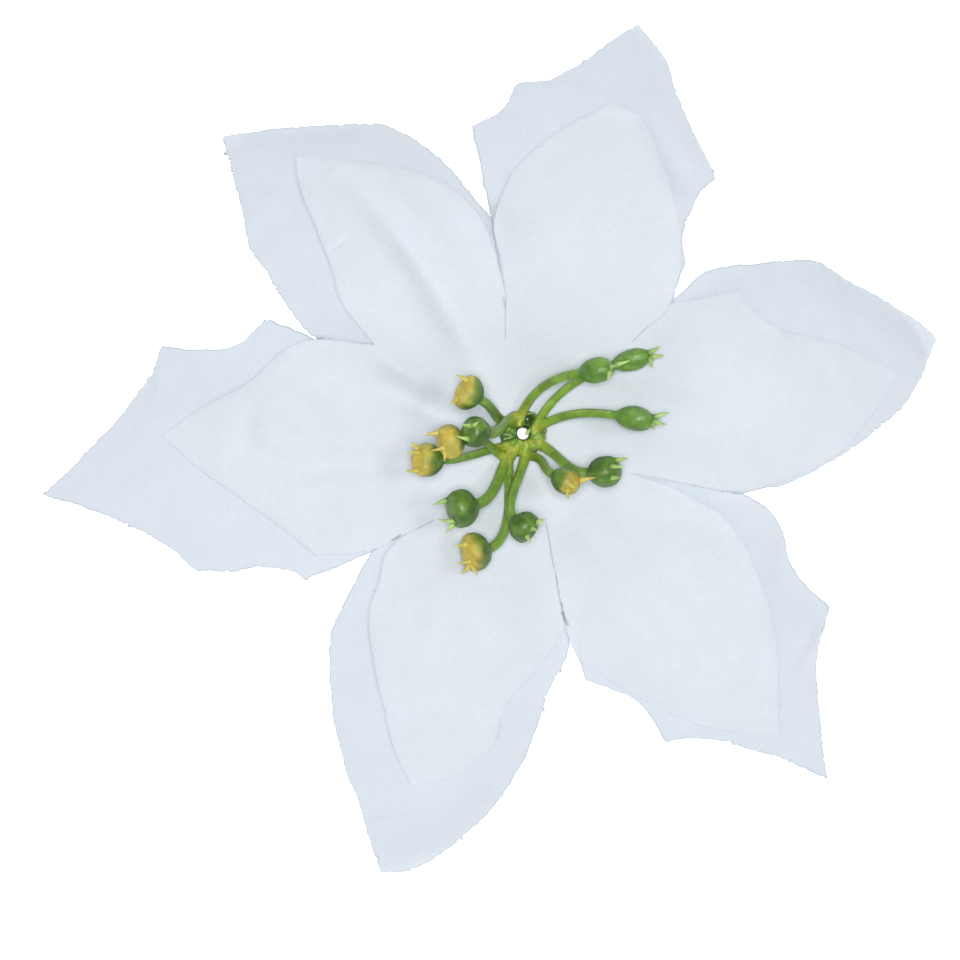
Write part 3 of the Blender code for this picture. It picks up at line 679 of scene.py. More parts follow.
def lobe_plan(name, lobe, before, after, slits, inner, roughness, draw):
    """Plan of a lobe's points, with how far along it and how far from its edges they are.

    Each side is a curve from the slit's inner end to the tip, cut into STATIONS steps. Beside a
    slit, both lobes' sides follow the same curve, turned about the axis: each one away from the
    slit by half its width where it is open, or only the lobe on top, across it, where they
    overlap. The turn grows by a smooth step along the slit and goes back to nothing about the
    place where the lobes part. A row of the grid goes from one side to the other, and its radius
    and angle change evenly on the way. Columns stand closer together towards the edges, as the
    cosine of an even step.
    """
    heading = math.atan2(lobe["tip"][1], lobe["tip"][0])
    sides = []
    for slit, edge, turn in ((before, "clockwise", 1), (after, "counter", -1)):
        root = slits[slit]
        knots = (root if len(root) == 1 else root + root[-1:]) + lobe[edge] + [lobe["tip"]]
        points = edge_points(knots, STATIONS)
        radius = np.hypot(points[:, 0], points[:, 1])
        angle = np.arctan2(points[:, 1], points[:, 0])
        angle = heading + (angle - heading + math.pi) % (2 * math.pi) - math.pi
        half_width, top_lobe, _ = SLIT_LIES[slit]
        open_above = half_width > 0
        if open_above and not inner:
            half_width = UNDER_OVERLAP
        parted = np.hypot(*OUTER_SLITS[slit][-1])
        opening = smooth_step((radius - radius[0]) / (parted - radius[0] + 1))
        closing = 1 - smooth_step((radius - parted + SLIT_CLOSES_BEFORE) / SLIT_CLOSES_OVER)
        if half_width < 0:
            inner_parts = np.hypot(*INNER_SLITS[slit][-1])
            start = inner_parts + OVERLAP_STARTS_UNDER
            if inner or open_above:
                start = radius[0] + OVERLAP_STARTS
            reach = smooth_step((radius - start) / OVERLAP_GROWS_OVER) if name == top_lobe else 0
            gap = SLIT_ROOT_HALF_WIDTH * (1 - opening) + 2 * half_width * reach
            if inner and len(INNER_SLITS[slit]) == 1:
                gap = SLIT_ROOT_HALF_WIDTH * (1 - opening)
        else:
            gap = SLIT_ROOT_HALF_WIDTH + (half_width - SLIT_ROOT_HALF_WIDTH) * opening
        sides.append((radius, angle + turn * gap * closing / radius))
    across = (1 - np.cos(np.linspace(0, math.pi, COLUMNS + 1))) / 2
    (radius_a, angle_a), (radius_b, angle_b) = sides
    radius = np.outer(radius_a, 1 - across) + np.outer(radius_b, across)
    angle = np.outer(angle_a, 1 - across) + np.outer(angle_b, across)
    span = np.hypot(radius_a * np.cos(angle_a) - radius_b * np.cos(angle_b),
                    radius_a * np.sin(angle_a) - radius_b * np.sin(angle_b))[:, None]
    along = np.repeat(np.linspace(0, 1, STATIONS + 1)[:, None], COLUMNS + 1, axis=1)
    from_a, from_b = span * across, span * (1 - across)
    x, y = radius * np.cos(angle), radius * np.sin(angle)
    x, y = rough_edge(x, y, 0, from_a, draw, roughness)
    x, y = rough_edge(x, y, -1, from_b, draw, roughness)
    return x, y, along, from_a, from_b


def cloth_form(radius, angle):
    """Height of the outer rosette's middle surface in mm, before curls and creases.

    Along a lobe it is a smooth step up to the crest, and past it a power of the way to the tip
    comes off. Between two lobes the crest and the length blend from one lobe's to the next one's
    by a smooth step of the angle, and the cloth drops towards the slit by half a cosine wave.
    """
    tips = np.array([lobe["tip"] for lobe in OUTER_LOBES.values()], float)
    crests = np.array([lobe["crest"] for lobe in OUTER_LOBES.values()], float)
    lengths = np.hypot(tips[:, 0], tips[:, 1])
    headings = np.arctan2(tips[:, 1], tips[:, 0]) % (2 * math.pi)
    order = np.argsort(headings)
    around = np.append(headings[order], headings[order[0]] + 2 * math.pi)
    angle = around[0] + (angle - around[0]) % (2 * math.pi)
    lobe = np.clip(np.searchsorted(around, angle, side="right") - 1, 0, len(order) - 1)
    share = (angle - around[lobe]) / (around[lobe + 1] - around[lobe])
    this, following = order[lobe], order[(lobe + 1) % len(order)]
    blend = smooth_step(share)
    crest = crests[this] * (1 - blend) + crests[following] * blend
    length = lengths[this] * (1 - blend) + lengths[following] * blend
    crest_radius = CREST_AT_SHARE_OF_LENGTH * length
    rise = SEAT_HEIGHT + (crest - SEAT_HEIGHT) * smooth_step(
        (radius - SEAT_RADIUS) / (crest_radius - SEAT_RADIUS))
    past = np.clip((radius - crest_radius) / (length - crest_radius), 0, None)
    fall = (crest - TIP_HEIGHT) * past**FALL_EXPONENT
    drop = EDGE_DROP * (1 - np.cos(2 * math.pi * share)) / 2
    drop = drop * smooth_step((radius - EDGE_DROP_STARTS) / (EDGE_DROP_FULL - EDGE_DROP_STARTS))
    return rise - fall - drop


def along_line(x, y, line):
    """Distance of each point from a line of points, and the share of the line at its foot."""
    line = np.array(line, float)
    steps = np.diff(line, axis=0)
    lengths = np.linalg.norm(steps, axis=1)
    starts = np.append(0, np.cumsum(lengths))[:-1]
    nearest = np.full(x.shape, np.inf)
    share = np.zeros(x.shape)
    for start, step, length, run in zip(line, steps, lengths, starts):
        foot = np.clip(((x - start[0]) * step[0] + (y - start[1]) * step[1]) / length**2, 0, 1)
        distance = np.hypot(x - start[0] - foot * step[0], y - start[1] - foot * step[1])
        closer = distance < nearest
        nearest = np.where(closer, distance, nearest)
        share = np.where(closer, (run + foot * length) / lengths.sum(), share)
    return nearest, share


def relief(x, y, grooves, swellings, crumples):
    """Height that creases, swellings and crumples add.

    A groove is a Gaussian across its line, and half a sine wave, flattened, along it. A swelling
    is a Gaussian in two directions, and a crumple is ripples under a Gaussian.
    """
    height = np.zeros(x.shape)
    for line, depth, width in grooves:
        smooth = curve_through(line, 4 * len(line))
        distance, share = along_line(x, y, smooth)
        height -= GROOVE_SHARE * depth * np.exp(-(distance / width) ** 2) * hump(share) ** 0.6
    for (cx, cy), amount, length, width, heading in swellings:
        turn = math.radians(heading)
        forward = ((x - cx) * math.cos(turn) + (y - cy) * math.sin(turn)) / length
        sideways = ((y - cy) * math.cos(turn) - (x - cx) * math.sin(turn)) / width
        height += amount * np.exp(-forward**2 - sideways**2)
    for number, ((cx, cy), reach, amount, wavelength) in enumerate(crumples):
        fade = np.exp(-((x - cx) ** 2 + (y - cy) ** 2) / reach**2)
        height += amount * fade * ripples(x, y, wavelength, number + 11)
    return height


def painted_notch_shade(x, y, places):
    """Share of painted notch shade at each point: the greatest of Gaussians of the distance from
    short lines.
    """
    share = np.zeros(x.shape)
    for line, width, amount in places:
        distance, _ = along_line(x, y, line)
        share = np.maximum(share, amount * np.exp(-(distance / width) ** 2))
    return share


def profile(share, pairs):
    """A value along an edge, by smooth steps between pairs of a share of its length and a value."""
    at, values = np.array(pairs, float).T
    span = np.clip(np.searchsorted(at, share, side="right") - 1, 0, len(at) - 2)
    blend = smooth_step((share - at[span]) / (at[span + 1] - at[span]))
    return values[span] * (1 - blend) + values[span + 1] * blend


def along_edges(lobe, kind, width, along, from_a, from_b):
    """A lobe's curl or lift: each edge's profile times a Gaussian of the distance from it."""
    return (profile(along, lobe["clockwise_" + kind]) * np.exp(-(from_a / width) ** 2)
            + profile(along, lobe["counter_" + kind]) * np.exp(-(from_b / width) ** 2))


def slit_steps(name, slits, x, y, radius, inner):
    """Rise or fall of a lobe towards its slits, where one lobe lies over its neighbour.

    It is a Gaussian of the distance from the slit. It starts at the slit's inner end and fades
    out beyond the place where the lobes part. The inner sheet rises on both sides as far out as
    it is whole, because there it lies over both of the outer sheet's lobes.
    """
    height = np.zeros(x.shape)
    for slit in slits:
        _, top_lobe, step = SLIT_LIES[slit]
        inner_end, outer_end = np.array(OUTER_SLITS[slit], float)
        beyond = outer_end * (1 + SLIT_STEP_FADE / np.hypot(*outer_end))
        distance, _ = along_line(x, y, [inner_end, outer_end, beyond])
        start = smooth_step((radius - np.hypot(*inner_end)) / SLIT_STEP_SETS_IN)
        fade = 1 - smooth_step((radius - np.hypot(*outer_end)) / SLIT_STEP_FADE)
        share = TOP_SHARE if name == top_lobe else UNDER_SHARE
        if inner:
            cut = INNER_SLITS[slit]
            apart = 0
            if name and len(cut) > 1:
                apart = smooth_step((radius - np.hypot(*cut[0])) / INNER_STEP_SETS_IN)
            share = TOP_SHARE + (share - TOP_SHARE) * apart
        height += step * share * np.exp(-(distance / SLIT_STEP_REACH) ** 2) * start * fade
    return height


def inner_rise(x, y, radius, puff_and_lifts):
    """How far the inner sheet stands off its lowest place on the outer one, never below zero.

    It is the puff and lifts, a lift that grows with the square of the radius, and the inner
    sheet's own grooves, swellings and crumples, which set in beyond the hub.
    """
    rise = puff_and_lifts + INNER_TIP_LIFT * (radius / INNER_TIP_RADIUS) ** 2
    creases = relief(x, y, INNER_GROOVES, INNER_SWELLINGS, INNER_CRUMPLES)
    creases = creases * smooth_step(
        (radius - INNER_CREASES_START) / (INNER_CREASES_FULL - INNER_CREASES_START))
    return at_least(rise + creases, 0, LAYER_SOFTNESS)


def at_least(height, least, softness):
    """The height, eased so that it never goes under the least one."""
    return (height + least + np.sqrt((height - least) ** 2 + softness**2)) / 2


def outer_surface(x, y, radius, angle, steps, curl):
    """Height of the outer rosette's middle surface in mm, eased so that it stays off the board.

    It is the cloth's form with the steps beside the slits, less the curl, with the outer sheet's
    and the shared grooves, swellings and crumples, and low ripples all over.
    """
    height = cloth_form(radius, angle) + steps - curl
    height += relief(x, y, OUTER_GROOVES, OUTER_SWELLINGS, OUTER_CRUMPLES)
    height += relief(x, y, SHARED_GROOVES, SHARED_SWELLINGS, [])
    height += RIPPLE_HEIGHT * ripples(x, y, RIPPLE_LENGTH, 3) * smooth_step(
        (radius - RIPPLES_START) / (RIPPLES_FULL - RIPPLES_START))
    return at_least(height, LOWEST_CLOTH, LOWEST_SOFTNESS)


def rosette(name, lobes, slits, inner, settings, material):
    """A six-lobed sheet of cloth: its middle surface on a grid, given the cloth's thickness.

    The outer sheet has the height of outer_surface, with a curl downwards that is a Gaussian of
    the distance from each edge. The inner sheet lies one layer above the same surface without
    the curl. It stands up from there by its puff, a flattened parabola across the lobe times half
    a sine wave along it, by its edges' lifts, Gaussians too, and by its own creases. The rings
    round the hole run from it to the lobes' first rows.
    """
    draw = np.random.default_rng(INNER_EDGE_SEED if inner else OUTER_EDGE_SEED)
    roughness = settings.edge_roughness / MM * (INNER_ROUGHNESS if inner else 1)
    names = list(lobes)
    rows, cells = [], []
    for i, lobe_name in enumerate(names):
        lobe = lobes[lobe_name]
        before = f"{names[i - 1]}-{lobe_name}"
        after = f"{lobe_name}-{names[(i + 1) % len(names)]}"
        x, y, along, from_a, from_b = lobe_plan(
            lobe_name, lobe, before, after, slits, inner, roughness, draw)
        radius, angle = np.hypot(x, y), np.arctan2(y, x)
        steps = slit_steps(lobe_name, (before, after), x, y, radius, inner)
        if inner:
            height = outer_surface(x, y, radius, angle, steps, 0)
            rise = lobe["puff"] * (from_a * from_b * 4 / (from_a + from_b + 1e-6) ** 2) ** 0.8
            rise = rise * hump(along * 1.05) ** 0.8 * smooth_step(along / 0.4)
            lift = along_edges(lobe, "lift", LIFT_WIDTH, along, from_a, from_b)
            height += LAYER_STEP + inner_rise(x, y, radius, rise + lift)
        else:
            curl = along_edges(lobe, "curl", CURL_WIDTH, along, from_a, from_b)
            height = outer_surface(x, y, radius, angle, steps, curl)
        cells.append((x, y, height, np.minimum(from_a, from_b)))
        rows.append((radius[0], angle[0]))

    root_radius = np.concatenate([r for r, _ in rows])
    root_angle = np.concatenate([a for _, a in rows])
    shares = np.linspace(0, 1, RINGS, endpoint=False)[:, None]
    ring_radius = HOLE_RADIUS + (root_radius - HOLE_RADIUS) * shares
    ring_angle = np.repeat(root_angle[None, :], RINGS, axis=0)
    x, y = ring_radius * np.cos(ring_angle), ring_radius * np.sin(ring_angle)
    steps = slit_steps(None, SLIT_LIES, x, y, ring_radius, True) if inner else 0
    height = outer_surface(x, y, ring_radius, ring_angle, steps, 0)
    if inner:
        height = height + LAYER_STEP + inner_rise(x, y, ring_radius, 0)
    rings = (x, y, height, np.full(x.shape, FAR_FROM_CUT))

    width = COLUMNS + 1
    lobe_size = STATIONS * width + 1
    faces = []
    root_index = []
    for i in range(len(names)):
        index = i * lobe_size + np.arange(STATIONS * width).reshape(STATIONS, width)
        tip = np.full(COLUMNS, (i + 1) * lobe_size - 1)
        faces.append(grid_faces(index))
        faces.append(np.column_stack([index[-1, :-1], tip, index[-1, 1:]]))
        root_index.append(index[0])
    ring_index = len(names) * lobe_size + np.arange(x.size).reshape(x.shape)
    ring_index = np.vstack([ring_index, np.concatenate(root_index)])
    faces.append(grid_faces(np.column_stack([ring_index, ring_index[:, 0]])))

    flat = []
    for cell in cells:
        flat.append(np.column_stack([part[:-1].ravel() for part in cell]))
        flat.append(np.array([[part[-1, 0] for part in cell]]))
    flat.append(np.column_stack([part.ravel() for part in rings]))
    flat = np.vstack(flat)
    drawn_in = 1 - flat[:, 2:3] * MM / bpy.context.scene.poinsettia_stage.camera_height
    points = np.column_stack([flat[:, :2] * drawn_in, flat[:, 2]]) * MM + AXIS

    # Painted shade where lobes part, standing for the shadow down in each notch
    notch_shade = painted_notch_shade(flat[:, 0], flat[:, 1], INNER_NOTCH_SHADE if inner else OUTER_NOTCH_SHADE)
    piece = mesh_object(name, points, faces, {"cut_distance": flat[:, 3], "notch_shade": notch_shade}, material)
    thickness = piece.modifiers.new("cloth thickness", "SOLIDIFY")
    thickness.thickness = settings.thickness
    thickness.offset = 0
    settle(piece, SHARP_ANGLE)
    return piece, cells


def loose_fibres(name, cells, share, settings, seed, material):
    """Short fibres that stand out of the cut edges of a rosette.

    Each one starts on an edge and runs outwards in the plane of the cloth, turned by a random
    angle and bent a little, as a thin tube of four sides that narrows to its end.
    """
    draw = np.random.default_rng(seed)
    starts, outward = [], []
    for x, y, height, _ in cells:
        for column, inside in ((0, 1), (-1, -2)):
            edge = np.column_stack([x[:-1, column], y[:-1, column], height[:-1, column]])
            within = np.column_stack([x[:-1, inside], y[:-1, inside], height[:-1, inside]])
            chosen = draw.uniform(0, 1, len(edge)) < share * settings.fibre_density
            chosen[:FIBRE_FREE_STEPS] = False
            starts.append(within[chosen] * 0.5 + edge[chosen] * 0.5)
            outward.append(edge[chosen] - within[chosen])
    starts = np.vstack(starts)
    outward = np.vstack(outward)
    outward /= np.linalg.norm(outward, axis=1)[:, None] + 1e-9
    count = len(starts)
    turn = draw.normal(0, FIBRE_TURN, count)
    flat_turn = np.column_stack([outward[:, 0] * np.cos(turn) - outward[:, 1] * np.sin(turn),
                                 outward[:, 0] * np.sin(turn) + outward[:, 1] * np.cos(turn),
                                 outward[:, 2] + draw.normal(0, 0.12, count)])
    length = np.clip(draw.exponential(settings.fibre_length / MM, count), *FIBRE_LENGTHS)
    length = length[:, None, None]
    bend = np.column_stack([-flat_turn[:, 1], flat_turn[:, 0], draw.normal(0, 0.3, count)])
    bend = bend * draw.normal(0, FIBRE_BEND, count)[:, None]
    t = np.linspace(0, 1, FIBRE_STATIONS)[None, :, None]
    paths = starts[:, None, :] + length * (flat_turn[:, None, :] * t + bend[:, None, :] * t**2)
    drawn_in = 1 - paths[..., 2:] * MM / bpy.context.scene.poinsettia_stage.camera_height
    height = np.maximum(paths[..., 2:], FIBRE_LOWEST)
    paths = np.concatenate([paths[..., :2] * drawn_in, height], axis=-1)
    radius = FIBRE_RADIUS * np.linspace(1, 0.45, FIBRE_STATIONS)[None, :, None]
    radius = radius * np.ones((count, 1, FIBRE_SIDES))
    points, faces = tube_bodies(paths, radius, np.array([0, 0, 1.0]))
    # At a cut distance of nothing the fibres take the full painted shade of the cut edge
    values = {"cut_distance": np.zeros(len(points))}
    piece = mesh_object(name, points * MM + AXIS, faces, values, material)
    piece.data.shade_smooth()
    return piece


# Moulded green pieces

def unit(vectors):
    """Vectors of length 1 in the same directions."""
    return vectors / (np.linalg.norm(vectors, axis=-1, keepdims=True) + 1e-12)


def carried_frames(paths, first):
    """Two directions across each path, carried along it without twist.

    At each station the part of the carried direction that lies along the path is taken out, and
    the second direction is square to the path and to the first.
    """
    tangent = unit(np.gradient(paths, axis=1))
    across = np.empty_like(paths)
    carried = np.broadcast_to(first, tangent[:, 0].shape)
    for i in range(paths.shape[1]):
        carried = carried - (carried * tangent[:, i]).sum(axis=-1, keepdims=True) * tangent[:, i]
        carried = unit(carried)
        across[:, i] = carried
    return across, np.cross(tangent, across)


def tube_bodies(paths, radius, first):
    """Closed bodies, each a ring of points carried along a path.

    A ring's point j lies at the path plus radius times (cos a across + sin a aside), where a is
    j's share of a full turn. The radius has a value for each path, station and side. A fan of
    triangles closes each end.
    """
    count, stations, sides = radius.shape
    across, aside = carried_frames(paths, first)
    turn = np.linspace(0, 2 * math.pi, sides, endpoint=False)
    ring = (np.cos(turn)[:, None] * across[:, :, None, :]
            + np.sin(turn)[:, None] * aside[:, :, None, :])
    body = paths[:, :, None, :] + radius[..., None] * ring
    points = np.concatenate([body.reshape(count, -1, 3), paths[:, :1], paths[:, -1:]], axis=1)
    index = np.arange(stations * sides).reshape(stations, sides)
    wrapped = np.column_stack([index, index[:, 0]])
    quads = grid_faces(wrapped)[:, ::-1]
    low, high = stations * sides, stations * sides + 1
    first_fan = np.column_stack([wrapped[0, 1:], wrapped[0, :-1], np.full(sides, low)])
    last_fan = np.column_stack([wrapped[-1, :-1], wrapped[-1, 1:], np.full(sides, high)])
    size = stations * sides + 2
    shift = (np.arange(count) * size)[:, None, None]
    faces = [(part[None] + shift).reshape(-1, part.shape[1])
             for part in (quads, first_fan, last_fan)]
    return points.reshape(-1, 3), faces


def turned_body(outline, sides, change=None):
    """A turned body with a hole along its axis, from a closed outline of radius and height.

    The outline goes round the section clockwise as seen with the axis on the left, so that the
    faces point out. change may move the radii and heights, given with the angle of each.
    """
    outline = np.array(outline, float)
    turn = np.linspace(0, 2 * math.pi, sides, endpoint=False)
    radius = np.repeat(outline[:, :1], sides, axis=1)
    height = np.repeat(outline[:, 1:], sides, axis=1)
    angle = np.repeat(turn[None, :], len(outline), axis=0)
    if change is not None:
        radius, height = change(radius, height, angle)
    points = np.stack([radius * np.cos(angle), radius * np.sin(angle), height], axis=-1)
    index = np.arange(radius.size).reshape(radius.shape)
    index = np.vstack([index, index[0]])
    faces = grid_faces(np.column_stack([index, index[:, 0]]))
    return points.reshape(-1, 3), [faces], radius.ravel(), height.ravel()


def rounded(outline, size, steps):
    """A closed outline whose corners are replaced by arcs, each a quadratic Bezier curve."""
    outline = np.array(outline, float)
    result = []
    t = np.linspace(0, 1, steps)[:, None]
    neighbours = np.roll(outline, 1, axis=0), np.roll(outline, -1, axis=0)
    for before, corner, after in zip(neighbours[0], outline, neighbours[1]):
        to_before, to_after = before - corner, after - corner
        reach = min(size, np.linalg.norm(to_before) * 0.4, np.linalg.norm(to_after) * 0.4)
        a, b = corner + unit(to_before) * reach, corner + unit(to_after) * reach
        result.append(a * (1 - t) ** 2 + corner * 2 * t * (1 - t) + b * t**2)
    return np.vstack(result)


def headings(heading, rise):
    """Unit vectors with a plan heading and a rise above level, both in degrees."""
    heading, rise = np.radians(heading), np.radians(rise)
    level = np.cos(rise)
    return np.stack([np.cos(heading) * level, np.sin(heading) * level, np.sin(rise)], axis=-1)


class Moulding:
    """Points, faces and values of several bodies that make up one moulding."""

    def __init__(self):
        self.points, self.faces, self.colours, self.paint = [], [], [], []

    def add(self, points, faces, colours, paint):
        """One more body, with a colour and a share of paint at each point."""
        first = sum(len(part) for part in self.points)
        self.points.append(points)
        self.faces += [part + first for part in faces]
        self.colours.append(np.column_stack([colours, np.ones(len(points))]))
        self.paint.append(paint)

    def finish(self, name, material):
        """The whole moulding as one smooth object that stands on the hub's axis."""
        values = {"pigment": np.vstack(self.colours), "paint": np.concatenate(self.paint)}
        piece = mesh_object(name, np.vstack(self.points) * MM + AXIS, self.faces, values, material)
        piece.data.shade_smooth()
        return piece


def mixed(first, second, share):
    """Colours between two colours, by a share for each point."""
    share = np.asarray(share)[..., None]
    return np.array(first) * (1 - share) + np.array(second) * share


def slimness(half, width):
    """0 for a round berry and 1 for a slim one, by a smooth step of its length to its width."""
    return smooth_step((half / width - 1.2) / 0.3)


def arms_and_berries(moulding, settings):
    """Every arm with its berry, as one body from its root in the hub to its berry's end.

    The path is a quadratic Bezier curve from the root to the fork, then a cubic one to the berry,
    and then straight along the berry's axis. The radius is the larger, eased, of the arm's and the
    berry's: the berry's is its width times a power of 1 - |t|^n, where t goes from -1 to 1 along
    its axis. n is 2 on the arm's side and 3 on the blunt side, or less on a slim berry, and the
    root of 1 - t^6 closes the blunt end. Two ridges run along the whole body where the halves of
    the mould met, and low sine waves of the turn make it a little uneven.
    """
    forks, stout, leaving, kept, centre, turned, rise, width, half, painted_from, _ = zip(
        *ARMS.values())
    count = len(forks)
    root, start = np.array([FORKS[fork] for fork in forks]).transpose(1, 0, 2)
    stout, kept, width, half, painted_from = (
        np.array(column)[:, None] for column in (stout, kept, width, half, painted_from))
    leaving = headings(leaving, np.full(count, ARM_START_RISE))
    centre = np.array(centre, float)
    axis = headings(turned, rise)
    end = centre - axis * (half - ARM_SUNK_IN_BERRY)
    lead = np.linalg.norm(end - start, axis=1)[:, None] * kept

    # Paths: the root part's middle knot lies straight behind the fork
    near = np.linalg.norm(start - root, axis=1)[:, None]
    bend = start - leaving * near * 0.4
    t = np.linspace(0, 1, ROOT_STATIONS, endpoint=False)[None, :, None]
    root_path = (root[:, None] * (1 - t) ** 2 + bend[:, None] * 2 * t * (1 - t)
                 + start[:, None] * t**2)
    t = np.linspace(0, 1, ARM_STATIONS)[None, :, None]
    arm_path = (start[:, None] * (1 - t) ** 3
                + (start + leaving * lead)[:, None] * 3 * t * (1 - t) ** 2
                + (end - axis * lead)[:, None] * 3 * t**2 * (1 - t) + end[:, None] * t**3)
    steps = (1 - np.cos(np.linspace(0, math.pi, BERRY_STATIONS + 1)[1:])) / 2
    through = (2 * half - ARM_SUNK_IN_BERRY) * steps
    berry_path = end[:, None] + axis[:, None] * through[..., None]
    paths = np.concatenate([root_path, arm_path, berry_path], axis=1)
    run = np.linalg.norm(np.diff(paths, axis=1), axis=-1)
    run = np.concatenate([np.zeros((count, 1)), np.cumsum(run, axis=1)], axis=1)
    # Place on the berry's axis, -1 at its arm's end and 1 at its blunt end, and way from the fork
    place = (run - run[:, -1:] + half) / half
    from_fork = run - run[:, ROOT_STATIONS:ROOT_STATIONS + 1]

    arm_radius = settings.arm_radius / MM * stout
    arm_radius = arm_radius * (
        1 + FORK_SWELLING * np.exp(-np.maximum(from_fork, 0) / FORK_SWELLING_REACH))
    # The arm ends inside the first part of its berry. A slim berry is less blunt at its end.
    arm_radius = arm_radius * (1 - smooth_step(place + 1.1))
    slim = slimness(half, width)
    blunt = np.where(place < 0, 2.0, 3.0 - 1.1 * slim)
    power = np.where(place < 0, 0.5, 0.5 + 0.2 * slim)
    egg = width * np.clip(1 - np.abs(np.clip(place, -1, 1)) ** blunt, 0, 1) ** power
    base = (arm_radius + egg + np.sqrt((arm_radius - egg) ** 2 + NECK_SOFTNESS**2)) / 2
    closing = np.sqrt(np.clip(1 - np.clip(place, 0, 1) ** 6, 0, 1))
    base = base * closing
    # Lumps of one or two hundredths of the radius, different on each arm, and the two seams
    turn = np.linspace(0, 2 * math.pi, ARM_SIDES, endpoint=False)
    number = np.arange(count)[:, None, None]
    lumps = (0.014 * np.sin(2 * turn + number + 0.2 * place[..., None])
             + 0.016 * np.sin(3 * turn + 2 * number + 2.5 * place[..., None]))
    seam = np.exp(-(np.sin(turn) / SEAM_WIDTH) ** 2)
    radius = base[..., None] * (1 + lumps) + SEAM_HEIGHT * seam * closing[..., None]
    tilt = np.random.default_rng(SEAM_SEED).uniform(-SEAM_TILT, SEAM_TILT, count)
    upward = np.column_stack([np.sin(tilt) * -leaving[:, 1], np.sin(tilt) * leaving[:, 0],
                              np.cos(tilt)])
    points, faces = tube_bodies(paths, radius, upward)

    def each_point(values):
        """A value for every path and station, repeated round the ring, with the two ends."""
        rings = np.repeat(values[..., None], ARM_SIDES, axis=-1).reshape(count, -1)
        return np.concatenate([rings, values[:, :1], values[:, -1:]], axis=1).ravel()

    # Colours: yellow-green at the fork, then the arm's green and the berry's, which is darker on a
    # round berry. The seams are painted paler, a painted highlight along them, patches are nearer
    # to the arm's green, lighter and darker places lie over it all at random, and the paint is on
    # top.
    berry = each_point(smooth_step((place + 1.35) / 0.5))
    young = each_point(np.exp(-np.abs(from_fork / FORK_YELLOW_REACH) ** 1.5))
    along = each_point(place)
    painted = each_point(np.repeat(painted_from, place.shape[1], axis=1))
    wander = 0.1 * ripples(points[:, 0], points[:, 1] + points[:, 2], 3.0, 2)
    paint = smooth_step((along + 1.5 * wander - painted) / PAINT_FADE)
    colours = mixed(settings.arm_green, settings.young_green, young)
    # Painted highlight: paler along the seams
    seam_highlight = np.tile(seam, count * paths.shape[1]).reshape(count, -1)
    seam_highlight = np.concatenate([seam_highlight, np.zeros((count, 2))], axis=1).ravel()
    colours = mixed(colours, settings.spike_green, 0.55 * seam_highlight)
    tone = each_point(np.repeat(0.62 + 0.5 * slim, place.shape[1], axis=1))[:, None]
    colours = mixed(colours, np.array(settings.berry_green) * tone, berry * (1 - 0.25 * seam_highlight))
    colours = mixed(colours, settings.arm_green, 0.3 * smooth_step(
        0.5 + ripples(points[:, 0], points[:, 1] + points[:, 2], 6.0, 14)))
    colours = colours * (1 + 0.09 * ripples(points[:, 0], points[:, 1], 5.0, 4))[:, None]
    thick = 0.35 + 0.5 * ripples(points[:, 0], points[:, 1] - points[:, 2], 4.0, 9)
    yellow = mixed(settings.paint_yellow, settings.paint_deep, np.clip(thick, 0, 1))
    colours = mixed(colours, yellow, paint * PAINT_COVER)
    moulding.add(points, faces, np.clip(colours, 0, 1), paint)


def spikes(moulding, settings):
    """The small spikes round the blunt end of each berry.

    Each one runs along a quadratic Bezier curve from inside the rim of the berry's blunt end to
    its point, which lies at its place in plan. Its height there is four fifths of what puts it at
    the spike's reach from the berry's centre, on the upper side. It narrows almost evenly from a
    wider root, and is a little flat.
    """
    base, middle, point, painted = [], [], [], []
    for *_, centre, heading, rise, width, half, painted_from, offsets in ARMS.values():
        axis = headings(heading, rise)
        slim = float(slimness(half, width))
        for dx, dy in offsets:
            level = math.hypot(dx, dy)
            reach = max(half + SPIKE_REACH, level)
            up = math.sqrt(max(reach**2 - level**2, 0)) * SPIKE_HEIGHT_SHARE
            tip = np.array([dx, dy, up])
            aside = unit(tip - (tip @ axis) * axis)
            root = axis * half * (0.66 + 0.16 * slim) + aside * width * (0.6 - 0.3 * slim)
            base.append(np.array(centre) + root)
            middle.append(np.array(centre) + (root + tip) / 2 + aside * SPIKE_BOW)
            point.append(np.array(centre) + tip)
            painted.append(1.0 if painted_from < 1 else 0.0)
    base, middle, point = (np.array(part)[:, None, :] for part in (base, middle, point))
    t = np.linspace(0, 1, SPIKE_STATIONS)[None, :, None]
    paths = base * (1 - t) ** 2 + middle * 2 * t * (1 - t) + point * t**2
    turn = np.linspace(0, 2 * math.pi, SPIKE_SIDES, endpoint=False)
    flat = np.sqrt(1 / ((np.cos(turn) / SPIKE_FLATNESS) ** 2 + np.sin(turn) ** 2))
    taper = (SPIKE_HALF_WIDTH * (1 - t[0]) ** 0.9 + SPIKE_POINT_HALF_WIDTH
             + SPIKE_ROOT_EXTRA * np.exp(-t[0] / 0.2))
    radius = np.ones((len(base), 1, 1)) * taper[None] * flat
    points, faces = tube_bodies(paths, radius, np.array([0, 0, 1.0]))
    size = SPIKE_STATIONS * SPIKE_SIDES + 2
    paint = np.repeat(painted, size)
    share = np.concatenate([np.repeat(t.ravel(), SPIKE_SIDES), [0, 1]])
    share = np.tile(share, len(base))
    # Paler towards the point: painted light, standing for light through the thin plastic
    colours = mixed(settings.berry_green, settings.spike_green, smooth_step(share / 0.4))
    dipped = mixed(settings.paint_yellow, settings.spike_green, 0.25 * share)
    colours = mixed(colours, dipped, paint)
    moulding.add(points, faces, colours, paint)


